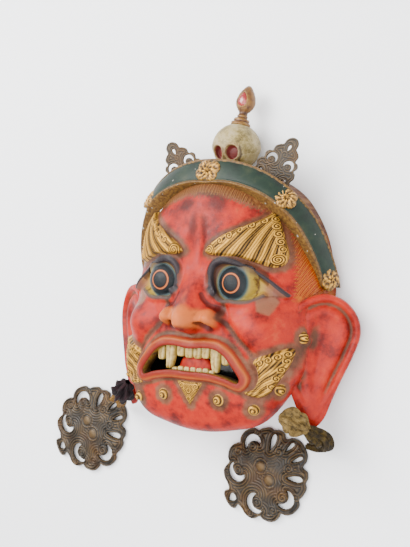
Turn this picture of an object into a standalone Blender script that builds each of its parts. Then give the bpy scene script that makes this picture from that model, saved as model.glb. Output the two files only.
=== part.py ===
"""A carved and painted wooden dance mask of a wrathful guardian, with crown ornaments and ear pendants.

The mask lies on its back rim, face up: +Z comes out of the face, +Y runs from the chin to the crown and
+X is to the right of someone who faces it. The origin is on the rim under the chin. Metres.
"""

import math

import bmesh
import bpy
import numpy as np
from mathutils import Matrix, Vector

# Carved head
HEAD_LENGTH = 0.305
HEAD_WIDTH = 0.254
HEAD_DEPTH = 0.111
WALL = 0.011
CHIN_OVERHANG = 0.060
HEAD_TRIANGLES = 2200

# Moulded band round the crown
BAND_WIDTH = 0.030
BAND_THICKNESS = 0.015
BAND_SWEEP = math.radians(92)
FLORET_RADIUS = 0.0135
FLORET_HEIGHT = 0.005

# Eyes, mouth and studs
EYEBALL_RADIUS = 0.026
EYEBALL_TOP = 0.112
LIP_HEIGHT = 0.007
TOOTH_THICKNESS = 0.007
FANG_LENGTH = 0.030
FANG_ROOT_RADIUS = 0.0075
FANG_TIP_RADIUS = 0.003
STUD_RADIUS = 0.0078
STUD_HEIGHT = 0.006

# Ears, fan-shaped and laid back
EAR_THICKNESS = 0.011
EAR_SWEEP_BACK = math.radians(36)

# Skull and turned finial on the crown
SKULL_WIDTH = 0.059
SKULL_HEIGHT = 0.060
SKULL_Z = 0.032
FINIAL_LENGTH = 0.051
FINIAL_WIDTH = 0.024
FINIAL_LEAN = Vector((0.12, 1.0, -0.16)).normalized()
FINIAL_SHIFT = -0.002

# Pierced brass ornaments
BRASS_THICKNESS = 0.0024
CROWN_PLATE_HEIGHT = 0.046
CROWN_PLATE_WIDTH = 0.054
CROWN_PLATE_Z = 0.047
CROWN_PLATE_TURN = math.radians(26)
PENDANT_LENGTH = 0.130
PENDANT_WIDTH = 0.114
PENDANT_DOME = 0.009

# Cloth ties between the ear lobes and the pendants
TIE_WIDTH = 0.024

# Gap between pieces that touch, and on the carved crown
GAP = 0.0003
SEAT_GAP = 0.0006

# Edges from this angle on stay sharp
SHARP_FROM = math.radians(40)

# The carving is laid out in millimetres on a head 305 mm long, and grows with the head
FACE = HEAD_LENGTH / 305


def scaled(points):
    """Places on the carved head, in metres."""
    return [(x * FACE, y * FACE) for x, y in points]


# Half the head's outline from the crown to the chin, seen from the front, as shares of its half width
CROWN_Y = 251 * FACE
MIDDLE_Y = 100 * FACE
OUTLINE = [
    (0.00, 251),
    (0.39, 241),
    (0.65, 220),
    (0.78, 199),
    (0.88, 175),
    (0.94, 150),
    (0.98, 121),
    (0.98, 90),
    (1.00, 60),
    (0.985, 30),
    (0.94, 0),
    (0.83, -27),
    (0.66, -50),
    (0.36, -61),
    (0.00, -65),
]

# How boxy the form is on its way from the rim to the face, by the angle from the crown
BOXINESS = [(0.0, 4.2), (30.0, 3.0), (60.0, 2.35), (90.0, 2.45), (120.0, 3.0), (150.0, 5.0), (180.0, 6.0)]

BROW = scaled([
    (16, 151),
    (25, 160),
    (50, 176),
    (70, 188),
    (79, 197),
    (88, 182),
    (94, 165),
    (98, 146),
    (96, 136),
    (86, 136),
    (70, 141),
    (51, 147),
    (27, 148),
])
EYELID = scaled([(25, 106), (22, 122), (24, 136), (36, 143), (54, 140), (76, 127), (101, 105)])
LOWER_LID = scaled([(26, 108), (39, 95), (56, 92), (74, 94), (87, 101)])
EYE = scaled([(48, 116.5)])[0]
FOLD = scaled([(40, 92), (43, 72), (56, 57), (72, 41), (86, 22), (88, 4)])
TUFT = scaled([
    (78, 32),
    (94, 41),
    (111, 47),
    (110, 30),
    (102, 10),
    (93, -4),
    (83, -8),
    (69, -4),
    (79, 0),
    (84, 11),
    (82, 24),
])
CHIN_TRIANGLE = scaled([(-17, 2), (17, 2), (0, -24)])
STUDS = scaled([(37, -15), (78, -23), (103, 1), (117, 59)])
UPPER_LIP = scaled([(0, 40), (18, 42), (34, 42), (47, 36), (57, 24), (64.5, 11.5)])
LOWER_LIP = scaled([(0, 14), (26, 14), (46, 11), (57, 7.5), (63.5, 6)])
NOSE_TIP = scaled([(0, 75)])[0]
NOSE_WING = scaled([(30, 76)])[0]
BRIDGE_Y = 134 * FACE

# Outline of an ear in its own plane: how far out from the head, and how high
EAR = scaled([
    (2, 90),
    (16, 103),
    (38, 109),
    (60, 102),
    (75, 85),
    (79, 64),
    (71, 39),
    (59, 12),
    (49, -12),
    (42, -30),
    (32, -41),
    (20, -38),
    (10, -20),
    (0, 8),
    (-2, 50),
])
EAR_ROOT_X = 102 * FACE
EAR_ROOT_Z = 64 * FACE


def material(name, colour, roughness, metallic=0.0):
    """A Principled material of one colour."""
    made = bpy.data.materials.new(name)
    made.use_nodes = True
    shader = made.node_tree.nodes["Principled BSDF"]
    shader.inputs["Base Color"].default_value = (*colour, 1.0)
    shader.inputs["Roughness"].default_value = roughness
    shader.inputs["Metallic"].default_value = metallic
    return made


def collection(name, hidden=False):
    """A collection in the scene; a hidden one holds cutters."""
    made = bpy.data.collections.new(name)
    bpy.context.scene.collection.children.link(made)
    made.hide_render = hidden
    return made


def smooth(mesh):
    """Shades the mesh smooth but for its sharp edges."""
    mesh.shade_smooth()
    mesh.set_sharp_from_angle(angle=SHARP_FROM)


def object_from(bm, name, where, finish=None):
    """The bmesh as a named object in a collection."""
    mesh = bpy.data.meshes.new(name)
    bmesh.ops.recalc_face_normals(bm, faces=bm.faces[:])
    bm.to_mesh(mesh)
    bm.free()
    smooth(mesh)
    made = bpy.data.objects.new(name, mesh)
    where.objects.link(made)
    if finish:
        mesh.materials.append(finish)
    return made


def boolean(target, other, operation):
    """Joins other to target, or cuts it out of it; other is then no piece of its own."""
    other.hide_render = True
    other.display_type = "WIRE"
    modifier = target.modifiers.new(f"{operation.lower()}_{other.name}", "BOOLEAN")
    modifier.operation = operation
    modifier.object = other


def evaluated(obj):
    """A copy of the object's mesh with its modifiers applied."""
    graph = bpy.context.evaluated_depsgraph_get()
    return bpy.data.meshes.new_from_object(obj.evaluated_get(graph))


def rise(low, high, value):
    """0 below low, 1 above high and smooth between."""
    t = np.clip((value - low) / (high - low), 0.0, 1.0)
    return t * t * (3.0 - 2.0 * t)


def hill(distance, radius):
    """1 at the middle and 0 from the radius on, rounded at both."""
    t = np.clip(distance / radius, 0.0, 1.0)
    return (1.0 - t * t) ** 2


def oval(x, y, centre, radii, turn=0.0):
    """Distance from a centre in an oval's own radii, so 1 on the oval."""
    u, v = x - centre[0], y - centre[1]
    c, s = math.cos(turn), math.sin(turn)
    return np.hypot((u * c + v * s) / radii[0], (v * c - u * s) / radii[1])


def through(points, at):
    """A smooth curve through (position, value) points, read at the given positions."""
    x, v = np.array(points, float).T
    slope = np.gradient(v, x)
    i = np.clip(np.searchsorted(x, at) - 1, 0, len(x) - 2)
    width = x[i + 1] - x[i]
    t = np.clip((at - x[i]) / width, 0.0, 1.0)
    start = v[i] * (1 + 2 * t) * (1 - t) ** 2 + slope[i] * width * t * (1 - t) ** 2
    end = v[i + 1] * t * t * (3 - 2 * t) + slope[i + 1] * width * t * t * (t - 1)
    return start + end


def along_line(x, y, points):
    """Distance to a line through points."""
    best = np.full(np.shape(x), 1e9)
    for a, b in zip(points, points[1:]):
        d = np.array(b) - np.array(a)
        t = np.clip(((x - a[0]) * d[0] + (y - a[1]) * d[1]) / (d @ d), 0.0, 1.0)
        best = np.minimum(best, np.hypot(x - a[0] - t * d[0], y - a[1] - t * d[1]))
    return best


def inside(x, y, outline):
    """Signed distance to a closed outline: positive inside it."""
    edge = along_line(x, y, [*outline, outline[0]])
    within = np.zeros(np.shape(x), bool)
    for (x0, y0), (x1, y1) in zip(outline, [*outline[1:], outline[0]]):
        if y0 != y1:
            crosses = (y0 > y) != (y1 > y)
            within ^= crosses & (x < (x1 - x0) * (y - y0) / (y1 - y0) + x0)
    return np.where(within, edge, -edge)


def smooth_loop(points, count):
    """Points spaced evenly along a smooth closed curve through the given ones."""
    p = np.array([points[-1], *points, points[0], points[1]], float)
    fine = []
    for a, b, c, d in zip(p, p[1:], p[2:], p[3:]):
        for t in np.linspace(0.0, 1.0, 12, endpoint=False):
            bend = (2 * a - 5 * b + 4 * c - d) * t**2 + (3 * b - a - 3 * c + d) * t**3
            fine.append(0.5 * (2 * b + (c - a) * t + bend))
    fine = np.array([*fine, fine[0]])
    reach = np.concatenate([[0.0], np.cumsum(np.linalg.norm(np.diff(fine, axis=0), axis=1))])
    at = np.linspace(0.0, reach[-1], count, endpoint=False)
    return np.stack([np.interp(at, reach, fine[:, k]) for k in range(2)], axis=1)


def head_form(directions, inset=0.0):
    """Points of the head's smooth form in the given directions from the middle of its rim plane."""
    dx, dy, dz = directions.T
    flat = np.hypot(dx, dy)
    turn = np.degrees(np.arctan2(np.abs(dx), dy))
    half = HEAD_WIDTH / 2
    outline = []
    for share, y in OUTLINE:
        across, up = share * half, y * FACE - MIDDLE_Y
        outline.append((math.degrees(math.atan2(across, up)), math.hypot(across, up)))
    reach = through(outline, turn) - inset
    box = through(BOXINESS, turn)
    size = (flat**box + dz**box) ** (1.0 / box)
    share = flat / size
    z = dz / size * (HEAD_DEPTH - inset)
    unit = np.maximum(flat, 1e-9)
    x = share * reach * dx / unit
    y = MIDDLE_Y + share * reach * dy / unit

    # The underside of the jaw slopes back from the chin to the rim
    slope = CHIN_OVERHANG * (1.0 - rise(0.0, 0.88 * HEAD_DEPTH, z))
    slope = slope * (1.0 - rise(-40 * FACE, 95 * FACE, y))
    return np.stack([x, y + slope, z], axis=1)


def dome(cuts):
    """The upper half of a cube of even squares, with directions that spread evenly over the ball."""
    bm = bmesh.new()
    bmesh.ops.create_cube(bm, size=2.0)
    bmesh.ops.subdivide_edges(bm, edges=bm.edges[:], cuts=cuts, use_grid_fill=True)
    below = [f for f in bm.faces if f.calc_center_median().z < 0.0]
    bmesh.ops.delete(bm, geom=below, context="FACES")
    spread = np.tan(np.array([v.co for v in bm.verts]) * math.pi / 4)
    spread[:, 2] = np.maximum(spread[:, 2], 0.0)
    return bm, spread / np.linalg.norm(spread, axis=1, keepdims=True)


def put(bm, points):
    """Moves the bmesh's points to the given places."""
    for v, p in zip(bm.verts, points):
        v.co = p
    bm.normal_update()


def close_below(bm, depth=0.0):
    """Closes an open dome with a flat face at a height of minus depth."""
    rim = [e for e in bm.edges if e.is_boundary]
    if depth:
        made = bmesh.ops.extrude_edge_only(bm, edges=rim)["geom"]
        rim = [e for e in made if isinstance(e, bmesh.types.BMEdge) and e.is_boundary]
    for v in {v for e in rim for v in e.verts}:
        v.co.z = -depth
    bmesh.ops.contextual_create(bm, geom=rim)


def both(points):
    """Places on the right joined to their mirror images."""
    return [(-x, y) for x, y in reversed(points) if x > 0] + list(points)


MOUTH = both(UPPER_LIP) + both(LOWER_LIP)[::-1]


def carve_large(p):
    """Brow ridges, eye sockets, cheeks and nose: moves the smooth head's points."""
    x, y, z = p.T.copy() / FACE
    side = np.abs(x)
    front = rise(20, 60, z)
    z = z + 9 * hill(oval(side, y, (52, 163), (54, 30), 0.25), 1.0) * front
    z = z - 9 * hill(oval(side, y, (54, 116), (44, 27)), 1.0) * front
    z = z - 5 * hill(oval(x, y, (0, 160), (15, 42)), 1.0) * front
    cheek = hill(oval(side, y, (82, 68), (34, 32)), 1.0)
    z = z + 12 * cheek * front
    x = x + np.sign(x) * 4 * cheek * front

    # The nose widens downwards from the bridge to a round tip, with flared wings beside it
    tip_y, bridge_y = NOSE_TIP[1] / FACE, BRIDGE_Y / FACE
    down = np.clip((bridge_y - y) / (bridge_y - tip_y), 0.0, 1.0)
    under = rise(tip_y - 15, tip_y - 4, y)
    ridge = 26 * rise(0.0, 1.0, down) ** 0.8 * hill(side, 18 + 20 * down)
    tip = 9 * hill(oval(x, y, (0, tip_y), (21, 17)), 1.0)
    wing = 20 * hill(oval(side, y, (NOSE_WING[0] / FACE, NOSE_WING[1] / FACE), (16, 14)), 1.0) ** 0.6
    nose = np.maximum(ridge, wing) + 0.35 * np.minimum(ridge, wing) + tip
    z = z + nose * under * front
    y = y - 7 * hill(oval(x, y, (0, tip_y - 9), (15, 14)), 1.0) * front
    return np.stack([x, y, z], axis=1) * FACE


def carve_relief(p, n):
    """Lids, lips, brows, tufts and studs: moves points along the surface's normals."""
    x, y, z = p.T
    side = np.abs(x)
    front = rise(12 * FACE, 40 * FACE, z)
    out = 6.0 * hill(along_line(side, y, EYELID), 7 * FACE)
    out += 4.5 * hill(along_line(side, y, LOWER_LID), 7 * FACE)
    out += 6.0 * rise(-2 * FACE, 5 * FACE, inside(side, y, BROW))
    out -= 4.0 * hill(along_line(side, y, FOLD), 9 * FACE)
    out += 4.5 * rise(-1 * FACE, 5 * FACE, inside(side, y, TUFT))
    out += 3.0 * rise(-1 * FACE, 4 * FACE, inside(x, y, CHIN_TRIANGLE))
    place = (NOSE_TIP[0] + 21 * FACE, NOSE_TIP[1] - 9 * FACE)
    nostril = oval(side, y, place, (10 * FACE, 6 * FACE), -0.25)
    out -= 9.0 * hill(nostril, 1.0)
    out *= FACE
    lips = -inside(x, y, MOUTH)
    out += LIP_HEIGHT * hill(lips - 4 * FACE, 10 * FACE) * rise(-6 * FACE, 2 * FACE, lips)
    for place in STUDS:
        nearest = p[np.argmin(np.hypot(side - place[0], y - place[1]) - 0.2 * z)]
        away = np.hypot(np.hypot(side - abs(nearest[0]), y - nearest[1]), z - nearest[2])
        out += STUD_HEIGHT * hill(away, STUD_RADIUS)
    return p + (out * front)[:, None] * n


def raise_eyeballs(p):
    """Lifts the middle of each socket onto a ball."""
    x, y, z = p.T.copy()
    away = np.hypot(np.abs(x) - EYE[0], y - EYE[1])
    ball = EYEBALL_TOP - EYEBALL_RADIUS + np.sqrt(np.maximum(EYEBALL_RADIUS**2 - away**2, 0.0))
    z = np.where((away < EYEBALL_RADIUS) & (z > 50 * FACE), np.maximum(z, ball), z)
    return np.stack([x, y, z], axis=1)


def loft(bm, rings):
    """Joins rings of points into one closed body with a face at each end."""
    ring = bmesh.ops.create_circle(bm, segments=len(rings[0]), cap_ends=True)["verts"]
    for v, place in zip(ring, rings[0]):
        v.co = place
    for places in rings[1:]:
        edges = [bm.edges.get(pair) for pair in zip(ring, ring[1:] + ring[:1])]
        made = bmesh.ops.extrude_edge_only(bm, edges=edges)["geom"]
        above = {}
        for v in (v for v in made if isinstance(v, bmesh.types.BMVert)):
            for edge in v.link_edges:
                above[edge.other_vert(v)] = v
        ring = [above[v] for v in ring]
        for v, place in zip(ring, places):
            v.co = place
    last = [bm.edges.get(pair) for pair in zip(ring, ring[1:] + ring[:1])]
    bmesh.ops.contextual_create(bm, geom=last)


def band_edges(turn):
    """Inner and outer edge of the band's face, at an angle round the crown from its top."""
    share = abs(turn) / BAND_SWEEP
    radius = through([(0.0, 123), (0.25, 127), (0.49, 131), (0.62, 131), (0.78, 129), (1.0, 129)], share)
    height = through([(0.0, 92), (0.25, 87), (0.49, 73), (0.62, 59), (0.78, 43), (1.0, 21)], share)
    lean = through([(0.0, 14), (0.25, 30), (0.49, 48), (0.62, 57), (0.78, 67), (1.0, 72)], share)
    lean = math.radians(float(lean))
    centre = Vector((0.0, 121 * FACE, 0.0))
    outward = Vector((math.sin(turn), math.cos(turn), 0.0))
    across = outward * math.cos(lean) - Vector((0.0, 0.0, math.sin(lean)))
    facing = outward * math.sin(lean) + Vector((0.0, 0.0, math.cos(lean)))
    middle = centre + (outward * float(radius) + Vector((0.0, 0.0, float(height)))) * FACE
    return middle, across, facing


def band(where):
    """The band as one sweep of its section round the crown."""
    bm = bmesh.new()
    half, thick = BAND_WIDTH / 2, BAND_THICKNESS
    section = [(-half, 0.0), (-0.6 * half, 0.1 * thick), (0.6 * half, 0.1 * thick), (half, 0.0)]
    section += [(0.8 * half, -thick), (-half, -thick)]
    rings = []
    for turn in np.linspace(-BAND_SWEEP, BAND_SWEEP, 33):
        middle, across, facing = band_edges(turn)
        rings.append([middle + across * a + facing * f for a, f in section])
    loft(bm, rings)
    return object_from(bm, "band", where)


def florets(where):
    """Five round flowers on the band: at its middle, at its sides and as curls at its ends."""
    bm = bmesh.new()
    for turn in (-88, -45, 0, 45, 88):
        middle, across, facing = band_edges(math.radians(turn))
        frame = Matrix((across.cross(facing), across, facing)).transposed().to_4x4()
        frame.translation = middle
        lift = 0.1 * BAND_THICKNESS
        steps = [(1.0, -BAND_THICKNESS / 2), (1.0, 0.45 * FLORET_HEIGHT)]
        steps += [(0.7, FLORET_HEIGHT), (0.3, 0.6 * FLORET_HEIGHT)]
        rings = []
        for share, height in steps:
            ring = []
            for k in range(12):
                radius = FLORET_RADIUS * share * (0.84 if k % 2 else 1.0)
                turned = math.pi * k / 6
                corner = Vector((radius * math.cos(turned), radius * math.sin(turned), height + lift))
                ring.append(frame @ corner)
            rings.append(ring)
        loft(bm, rings)
    return object_from(bm, "florets", where)


def ears(where):
    """Both ears: a rolled rim round a sunken inside, from rings that step inwards from the outline."""
    bm = bmesh.new()
    outline = smooth_loop(EAR, 30)
    heart = np.array(scaled([(31, 46)])[0])
    steps = [(0.9, -0.45), (1.0, 0.0), (0.96, 0.5), (0.85, 0.5), (0.75, 0.05)]
    for side in (1, -1):
        out = Vector((math.cos(EAR_SWEEP_BACK), 0.0, -math.sin(EAR_SWEEP_BACK)))
        up = Vector((math.sin(EAR_SWEEP_BACK), 0.0, math.cos(EAR_SWEEP_BACK)))
        root = Vector((EAR_ROOT_X, 0.0, EAR_ROOT_Z))
        rings = []
        for share, height in steps:
            ring = []
            for point in outline:
                e, y = heart + (point - heart) * share
                place = root + out * e + up * (height * EAR_THICKNESS)
                ring.append((side * place.x, y, place.z))
            rings.append(ring)
        loft(bm, rings)
    return object_from(bm, "ears", where)


def teeth(where):
    """Upper incisors, fangs and molars, and a lower row: each a closed body that roots in the lips."""
    bm = bmesh.new()
    back = HEAD_DEPTH - 0.4 * WALL
    for x, width, tip in ((5.7, 11, 28), (17, 11, 28), (44, 10, 23)):
        for side in (-1, 1):
            low, high = tip * FACE, 45 * FACE
            place = Matrix.Translation((side * x * FACE, (low + high) / 2, back - TOOTH_THICKNESS / 2))
            size = Matrix.Diagonal((width * FACE, high - low, TOOTH_THICKNESS, 1.0))
            bmesh.ops.create_cube(bm, size=1.0, matrix=place @ size)
    for side in (-1, 1):
        top = Vector((side * 30.5 * FACE, 44 * FACE, back - TOOTH_THICKNESS / 2))
        middle = top - Vector((0.0, FANG_LENGTH / 2, 0.0))
        bmesh.ops.create_cone(
            bm,
            cap_ends=True,
            segments=8,
            radius1=FANG_TIP_RADIUS,
            radius2=FANG_ROOT_RADIUS,
            depth=FANG_LENGTH,
            matrix=Matrix.Translation(middle) @ Matrix.Rotation(-math.pi / 2, 4, "X"),
        )
    for k in range(-2, 3):
        place = Matrix.Translation((k * 8.5 * FACE, 12 * FACE, back - TOOTH_THICKNESS / 2))
        size = Matrix.Diagonal((8 * FACE, 12 * FACE, TOOTH_THICKNESS, 1.0))
        bmesh.ops.create_cube(bm, size=1.0, matrix=place @ size)
    return object_from(bm, "teeth", where)


def tongue(where):
    """A tongue that rises behind the lower teeth."""
    bm = bmesh.new()
    bmesh.ops.create_uvsphere(bm, u_segments=12, v_segments=6, radius=1.0)
    size = Matrix.Diagonal((23 * FACE, 22 * FACE, 8 * FACE, 1.0))
    place = Matrix.Translation((0.0, 14 * FACE, HEAD_DEPTH - WALL - 2 * FACE))
    bmesh.ops.transform(bm, matrix=place @ size, verts=bm.verts[:])
    return object_from(bm, "tongue", where)


def mouth_cutter(where):
    """The mouth's outline as a prism through the wall."""
    bm = bmesh.new()
    loop = smooth_loop(MOUTH, 48)
    ring = bmesh.ops.create_circle(bm, segments=len(loop))["verts"]
    for v, (x, y) in zip(ring, loop):
        v.co = (x, y, HEAD_DEPTH - 3 * WALL)
    face = bmesh.ops.contextual_create(bm, geom=bm.edges[:])["faces"]
    grown = bmesh.ops.extrude_face_region(bm, geom=face)["geom"]
    up = [v for v in grown if isinstance(v, bmesh.types.BMVert)]
    bmesh.ops.translate(bm, vec=(0.0, 0.0, 6 * WALL), verts=up)
    return object_from(bm, "mouth", where)


def mask(where, tools, finish):
    """The carved head: a hollowed shell, its mouth cut through, with ears, band and teeth of one wood."""
    bm, ball = dome(79)
    put(bm, carve_large(head_form(ball)))
    points = np.array([v.co for v in bm.verts])
    put(bm, raise_eyeballs(points))
    points = np.array([v.co for v in bm.verts])
    put(bm, carve_relief(points, np.array([v.normal for v in bm.verts])))
    close_below(bm)
    outer = object_from(bm, "head_form", tools)
    thin = outer.modifiers.new("fewer_faces", "DECIMATE")
    thin.ratio = HEAD_TRIANGLES / (2 * len(outer.data.polygons))
    shell = bpy.data.objects.new("mask", evaluated(outer))
    smooth(shell.data)
    bpy.data.objects.remove(outer)
    where.objects.link(shell)
    shell.data.materials.append(finish)

    bm, ball = dome(9)
    put(bm, head_form(ball, WALL))
    close_below(bm, WALL)
    hollow = object_from(bm, "hollow", tools)
    boolean(shell, ears(tools), "UNION")
    boolean(shell, band(tools), "UNION")
    boolean(shell, florets(tools), "UNION")
    boolean(shell, hollow, "DIFFERENCE")
    boolean(shell, mouth_cutter(tools), "DIFFERENCE")
    boolean(shell, tongue(tools), "UNION")
    boolean(shell, teeth(tools), "UNION")
    return shell


def crown_seat(tools):
    """The head's form grown by a gap, which the pieces on the crown are cut with."""
    bm, ball = dome(21)
    put(bm, head_form(ball, -SEAT_GAP))
    close_below(bm, WALL)
    return object_from(bm, "crown_seat", tools)


def skull(where, finish, seat):
    """A small skull with sockets, nose and a row of teeth, cut flat on top for the finial."""
    bm = bmesh.new()
    bmesh.ops.create_uvsphere(bm, u_segments=22, v_segments=13, radius=1.0)
    p = np.array([v.co for v in bm.verts])
    x, y, z = p.T.copy()
    side = np.abs(x)
    front = rise(0.1, 0.5, z)
    jaw = 1.0 - 0.28 * (1.0 - rise(-0.8, 0.1, y))
    z = z - 0.30 * hill(oval(side, y, (0.34, -0.25), (0.30, 0.30)), 1.0) * front
    z = z - 0.20 * hill(oval(x, y, (0.0, -0.52), (0.16, 0.22)), 1.0) * front
    middle = np.array([0.0, CROWN_Y - 4 * FACE + SKULL_HEIGHT / 2, SKULL_Z])
    points = np.stack([x * jaw * SKULL_WIDTH / 2, y * SKULL_HEIGHT / 2, z * SKULL_WIDTH / 2], axis=1)

    # The top is cut flat, square to the finial
    lean = np.array(FINIAL_LEAN)
    top = 0.91 * SKULL_HEIGHT / 2
    over = np.maximum(points @ lean - top, 0.0)
    put(bm, middle + points - over[:, None] * lean)
    made = object_from(bm, "skull", where, finish)
    boolean(made, seat, "DIFFERENCE")
    shift = np.array([FINIAL_SHIFT, 0.0, 0.0])
    return Vector(middle + lean * (top + GAP - shift @ lean) + shift)


def finial(where, finish, base):
    """A turned finial: collar, neck and a pointed jewel bud."""
    profile = [
        (0.49, 0.00),
        (0.49, 0.07),
        (0.36, 0.10),
        (0.38, 0.17),
        (0.25, 0.22),
        (0.22, 0.33),
        (0.42, 0.46),
        (0.50, 0.58),
        (0.42, 0.74),
        (0.00, 1.00),
    ]
    mesh = bpy.data.meshes.new("finial")
    made = bpy.data.objects.new("finial", mesh)
    where.objects.link(made)
    mesh.materials.append(finish)
    bm = bmesh.new()
    points = [(0.0, 0.0), *profile]
    verts = [bm.verts.new((r * FINIAL_WIDTH, 0.0, h * FINIAL_LENGTH)) for r, h in reversed(points)]
    for a, b in zip(verts, verts[1:]):
        bm.edges.new((a, b))
    bm.to_mesh(mesh)
    bm.free()
    turned = made.modifiers.new("turned", "SCREW")
    turned.steps = 12
    turned.render_steps = 12
    turned.use_merge_vertices = True
    turned.merge_threshold = 0.00005
    turned.use_smooth_shade = True
    made.rotation_euler = FINIAL_LEAN.to_track_quat("Z", "Y").to_euler()
    made.location = base
    return made


def flat_plate(name, where, finish, outline, holes, place):
    """A flat pierced sheet of brass, upright about the middle of its thickness."""
    curve = bpy.data.curves.new(name, "CURVE")
    curve.dimensions = "2D"
    curve.fill_mode = "BOTH"
    curve.extrude = BRASS_THICKNESS / 2
    for loop in (outline, *holes):
        spline = curve.splines.new("POLY")
        spline.points.add(len(loop) - 1)
        for point, (x, y) in zip(spline.points, loop):
            point.co = (x, y, 0.0, 1.0)
        spline.use_cyclic_u = True
    drawn = bpy.data.objects.new(name + "_outline", curve)
    where.objects.link(drawn)
    bpy.context.view_layer.update()
    mesh = evaluated(drawn)
    bpy.data.objects.remove(drawn)
    bm = bmesh.new()
    bm.from_mesh(mesh)
    bmesh.ops.remove_doubles(bm, verts=bm.verts[:], dist=0.00002)
    bmesh.ops.transform(bm, matrix=place, verts=bm.verts[:])
    return object_from(bm, name, where, finish)


def teardrop(x, y, length, width, turn, count=12):
    """A teardrop opening, round at its far end, at a place and a turn."""
    points = []
    for k in range(count):
        t = 2 * math.pi * k / count
        u = 0.5 * length * math.cos(t)
        v = 0.5 * width * math.sin(t) * (0.35 + 0.65 * (0.5 + 0.5 * math.cos(t)))
        across, up = u * math.cos(turn) - v * math.sin(turn), u * math.sin(turn) + v * math.cos(turn)
        points.append((x + across, y + up))
    return points


def crescent(x, y, radius, width, start, end, count=6):
    """A curved slot with pointed ends, round a centre."""
    outer, inner = [], []
    for k in range(count + 1):
        t = k / count
        turn = start + (end - start) * t
        half = 0.5 * width * math.sin(math.pi * t)
        outer.append((x + (radius + half) * math.cos(turn), y + (radius + half) * math.sin(turn)))
        inner.append((x + (radius - half) * math.cos(turn), y + (radius - half) * math.sin(turn)))
    return outer + inner[-2:0:-1]


def mirrored(shape):
    """A shape and its mirror image on the other side of the ornament's long axis."""
    return [shape, [(-x, y) for x, y in reversed(shape)]]


# Half of a pendant's lobed outline as shares of its half width and its length, from its tip to its root
PENDANT_HALF = [
    (0.00, 0.000),
    (0.22, 0.030),
    (0.20, 0.110),
    (0.40, 0.120),
    (0.60, 0.150),
    (0.66, 0.250),
    (0.86, 0.290),
    (0.90, 0.400),
    (0.86, 0.460),
    (1.00, 0.530),
    (0.96, 0.650),
    (0.78, 0.700),
    (0.72, 0.800),
    (0.52, 0.870),
    (0.34, 0.870),
    (0.24, 0.960),
    (0.00, 1.000),
]


# Where each pendant's root lies on the floor, at the end of its tie, and how far the pendant is turned
PENDANT_ROOTS = {
    1: (scaled([(94.2, -72.0)])[0], math.radians(-52)),
    -1: (scaled([(-170.9, -53.6)])[0], math.radians(-58)),
}


def pendant_place(side):
    """Where a pendant lies on the floor: its middle, turned so that its root is at its ear's tie."""
    (x, y), turn = PENDANT_ROOTS[side]
    turned = Matrix.Translation((x, y, 0.0)) @ Matrix.Rotation(turn, 4, "Z")
    return turned @ Matrix.Translation((0.0, -PENDANT_LENGTH / 2, 0.0))


def prisms(loops, name, where, low, high):
    """One closed prism for each outline, side by side in one cutter."""
    bm = bmesh.new()
    for loop in loops:
        floor = bmesh.ops.create_circle(bm, segments=len(loop), cap_ends=True)["verts"]
        for v, (x, y) in zip(floor, loop):
            v.co = (x, y, low)
        grown = bmesh.ops.extrude_face_region(bm, geom=floor[0].link_faces[:], use_keep_orig=True)["geom"]
        up = [v for v in grown if isinstance(v, bmesh.types.BMVert)]
        bmesh.ops.translate(bm, vec=(0.0, 0.0, high - low), verts=up)
    return object_from(bm, name, where)


def pendant(side, where, tools, finish):
    """A pierced palmette of cast brass with paired scrolls round a raised jewel, lying on its back."""
    name = "pendant_right" if side == 1 else "pendant_left"
    half, length = PENDANT_WIDTH / 2, PENDANT_LENGTH
    right = [(x * half, (y - 0.5) * length) for x, y in PENDANT_HALF]
    outline = smooth_loop(right + [(-x, y) for x, y in reversed(right[1:-1])], 36)
    bm = bmesh.new()
    rings = []
    for share, upper in [(0.65, 0), (1.0, 0), (1.0, 1), (0.72, 1), (0.4, 1)]:
        height = (1.0 - share**2) * PENDANT_DOME + upper * BRASS_THICKNESS
        rings.append([(x * share, y * share, height) for x, y in outline])
    loft(bm, rings)
    made = object_from(bm, name, where, finish)

    holes = [teardrop(0.0, -0.42 * length, 0.09 * length, 0.22 * half, math.pi / 2, 6)]
    holes += mirrored(crescent(0.40 * half, -0.20 * length, 0.19 * half, 0.14 * half, 2.6, 6.2, 3))
    holes += mirrored(crescent(0.62 * half, 0.06 * length, 0.18 * half, 0.14 * half, -1.4, 2.0, 3))
    holes += mirrored(teardrop(0.44 * half, 0.26 * length, 0.15 * length, 0.20 * half, 0.9, 6))
    holes += mirrored(teardrop(0.15 * half, 0.38 * length, 0.11 * length, 0.12 * half, 1.4, 6))
    boolean(made, prisms(holes, name + "_holes", tools, -PENDANT_DOME, 3 * PENDANT_DOME), "DIFFERENCE")

    bm = bmesh.new()
    bosses = [(0.17, 0.04, 0.135, 0.7), (-0.17, 0.04, 0.135, 0.7), (0.0, 0.30, 0.15, 0.6)]
    bosses += [(0.40, -0.20, 0.13, 0.6), (-0.40, -0.20, 0.13, 0.6)]
    bosses += [(0.62, 0.06, 0.11, 0.5), (-0.62, 0.06, 0.11, 0.5)]
    for x, y, radius, height in bosses:
        place = Vector((x * half, y * length, 0.0))
        away = (place.length / math.hypot(half, length / 2)) ** 2
        place.z = (1.0 - away) * PENDANT_DOME + BRASS_THICKNESS / 2
        size = Matrix.Diagonal((radius * half, radius * half, height * PENDANT_DOME, 1.0))
        grown = Matrix.Translation(place) @ size
        bmesh.ops.create_uvsphere(bm, u_segments=8, v_segments=4, radius=1.0, matrix=grown)
    boolean(made, object_from(bm, name + "_bosses", tools), "UNION")
    made.matrix_world = pendant_place(side)
    for tool in (name + "_holes", name + "_bosses"):
        bpy.data.objects[tool].matrix_world = pendant_place(side)
    return made


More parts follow.
